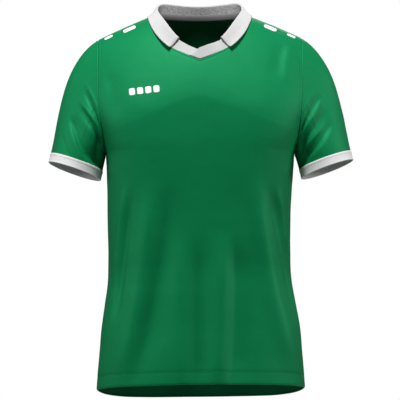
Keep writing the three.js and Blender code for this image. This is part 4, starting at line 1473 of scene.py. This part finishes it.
class JERSEY_OT_marks(bpy.types.Operator):
    """Lays a plain row of blocks on the chest and plain dashes along the shoulders"""

    bl_idname = "jersey.marks"
    bl_label = "Plain marks"

    def execute(self, context):
        trim = context.scene.jersey_trim
        solve_shell()
        sheet = shape["shell"]["front"]
        tree = BVHTree.FromPolygons(sheet["points"], sheet["faces"])
        blocks = []
        for k in range(BLOCK_COUNT):
            away = (k - (BLOCK_COUNT - 1) / 2) * BLOCK_PITCH
            x = BLOCK_MIDDLE[0] + away * math.cos(BLOCK_TURN)
            z = BLOCK_MIDDLE[1] + away * math.sin(BLOCK_TURN)
            blocks.append(laid_patch(tree, (x, z), BLOCK_TURN, *BLOCK))
        make_piece("chest_blocks", joined(blocks), print_material(trim))
        dashes = []
        for hand in (-1, 1):
            for x, below, wide, high in DASHES:
                slope = math.atan2(ridge_z(x + 5) - ridge_z(x - 5), 10) * hand
                centre = (hand * x, ridge_z(x) - below)
                dashes.append(laid_patch(tree, centre, slope, wide, high, high / 2 - DASH_CORNER_CUT))
        make_piece("shoulder_dashes", joined(dashes), print_material(trim))
        return {"FINISHED"}


class JERSEY_PT_sidebar(bpy.types.Panel):
    bl_idname = "JERSEY_PT_sidebar"
    bl_label = "Football jersey"
    bl_space_type = "VIEW_3D"
    bl_region_type = "UI"
    bl_category = "Jersey"

    def draw(self, context):
        for operator in OPERATORS:
            self.layout.operator(operator.bl_idname)
        for group in (context.scene.jersey_cloth, context.scene.jersey_trim, context.scene.jersey_stage):
            for key in group.bl_rna.properties.keys():
                if key not in ("rna_type", "name"):
                    self.layout.prop(group, key)


GROUPS = (JerseyCloth, JerseyTrim, JerseyStage)
OPERATORS = (
    JERSEY_OT_stage,
    JERSEY_OT_body,
    JERSEY_OT_sleeves,
    JERSEY_OT_cuffs,
    JERSEY_OT_neck,
    JERSEY_OT_stitching,
    JERSEY_OT_marks,
)


def register():
    for made in (*GROUPS, *OPERATORS, JERSEY_PT_sidebar):
        bpy.utils.register_class(made)
    bpy.types.Scene.jersey_cloth = bpy.props.PointerProperty(type=JerseyCloth)
    bpy.types.Scene.jersey_trim = bpy.props.PointerProperty(type=JerseyTrim)
    bpy.types.Scene.jersey_stage = bpy.props.PointerProperty(type=JerseyStage)


def unregister():
    del bpy.types.Scene.jersey_stage
    del bpy.types.Scene.jersey_trim
    del bpy.types.Scene.jersey_cloth
    for made in reversed((*GROUPS, *OPERATORS, JERSEY_PT_sidebar)):
        bpy.utils.unregister_class(made)


def main():
    register()
    bpy.ops.object.select_all(action="DESELECT")
    bpy.ops.jersey.stage()
    bpy.ops.jersey.body()
    bpy.ops.jersey.sleeves()
    bpy.ops.jersey.cuffs()
    bpy.ops.jersey.neck()
    bpy.ops.jersey.stitching()
    bpy.ops.jersey.marks()


if __name__ == "__main__":
    main()
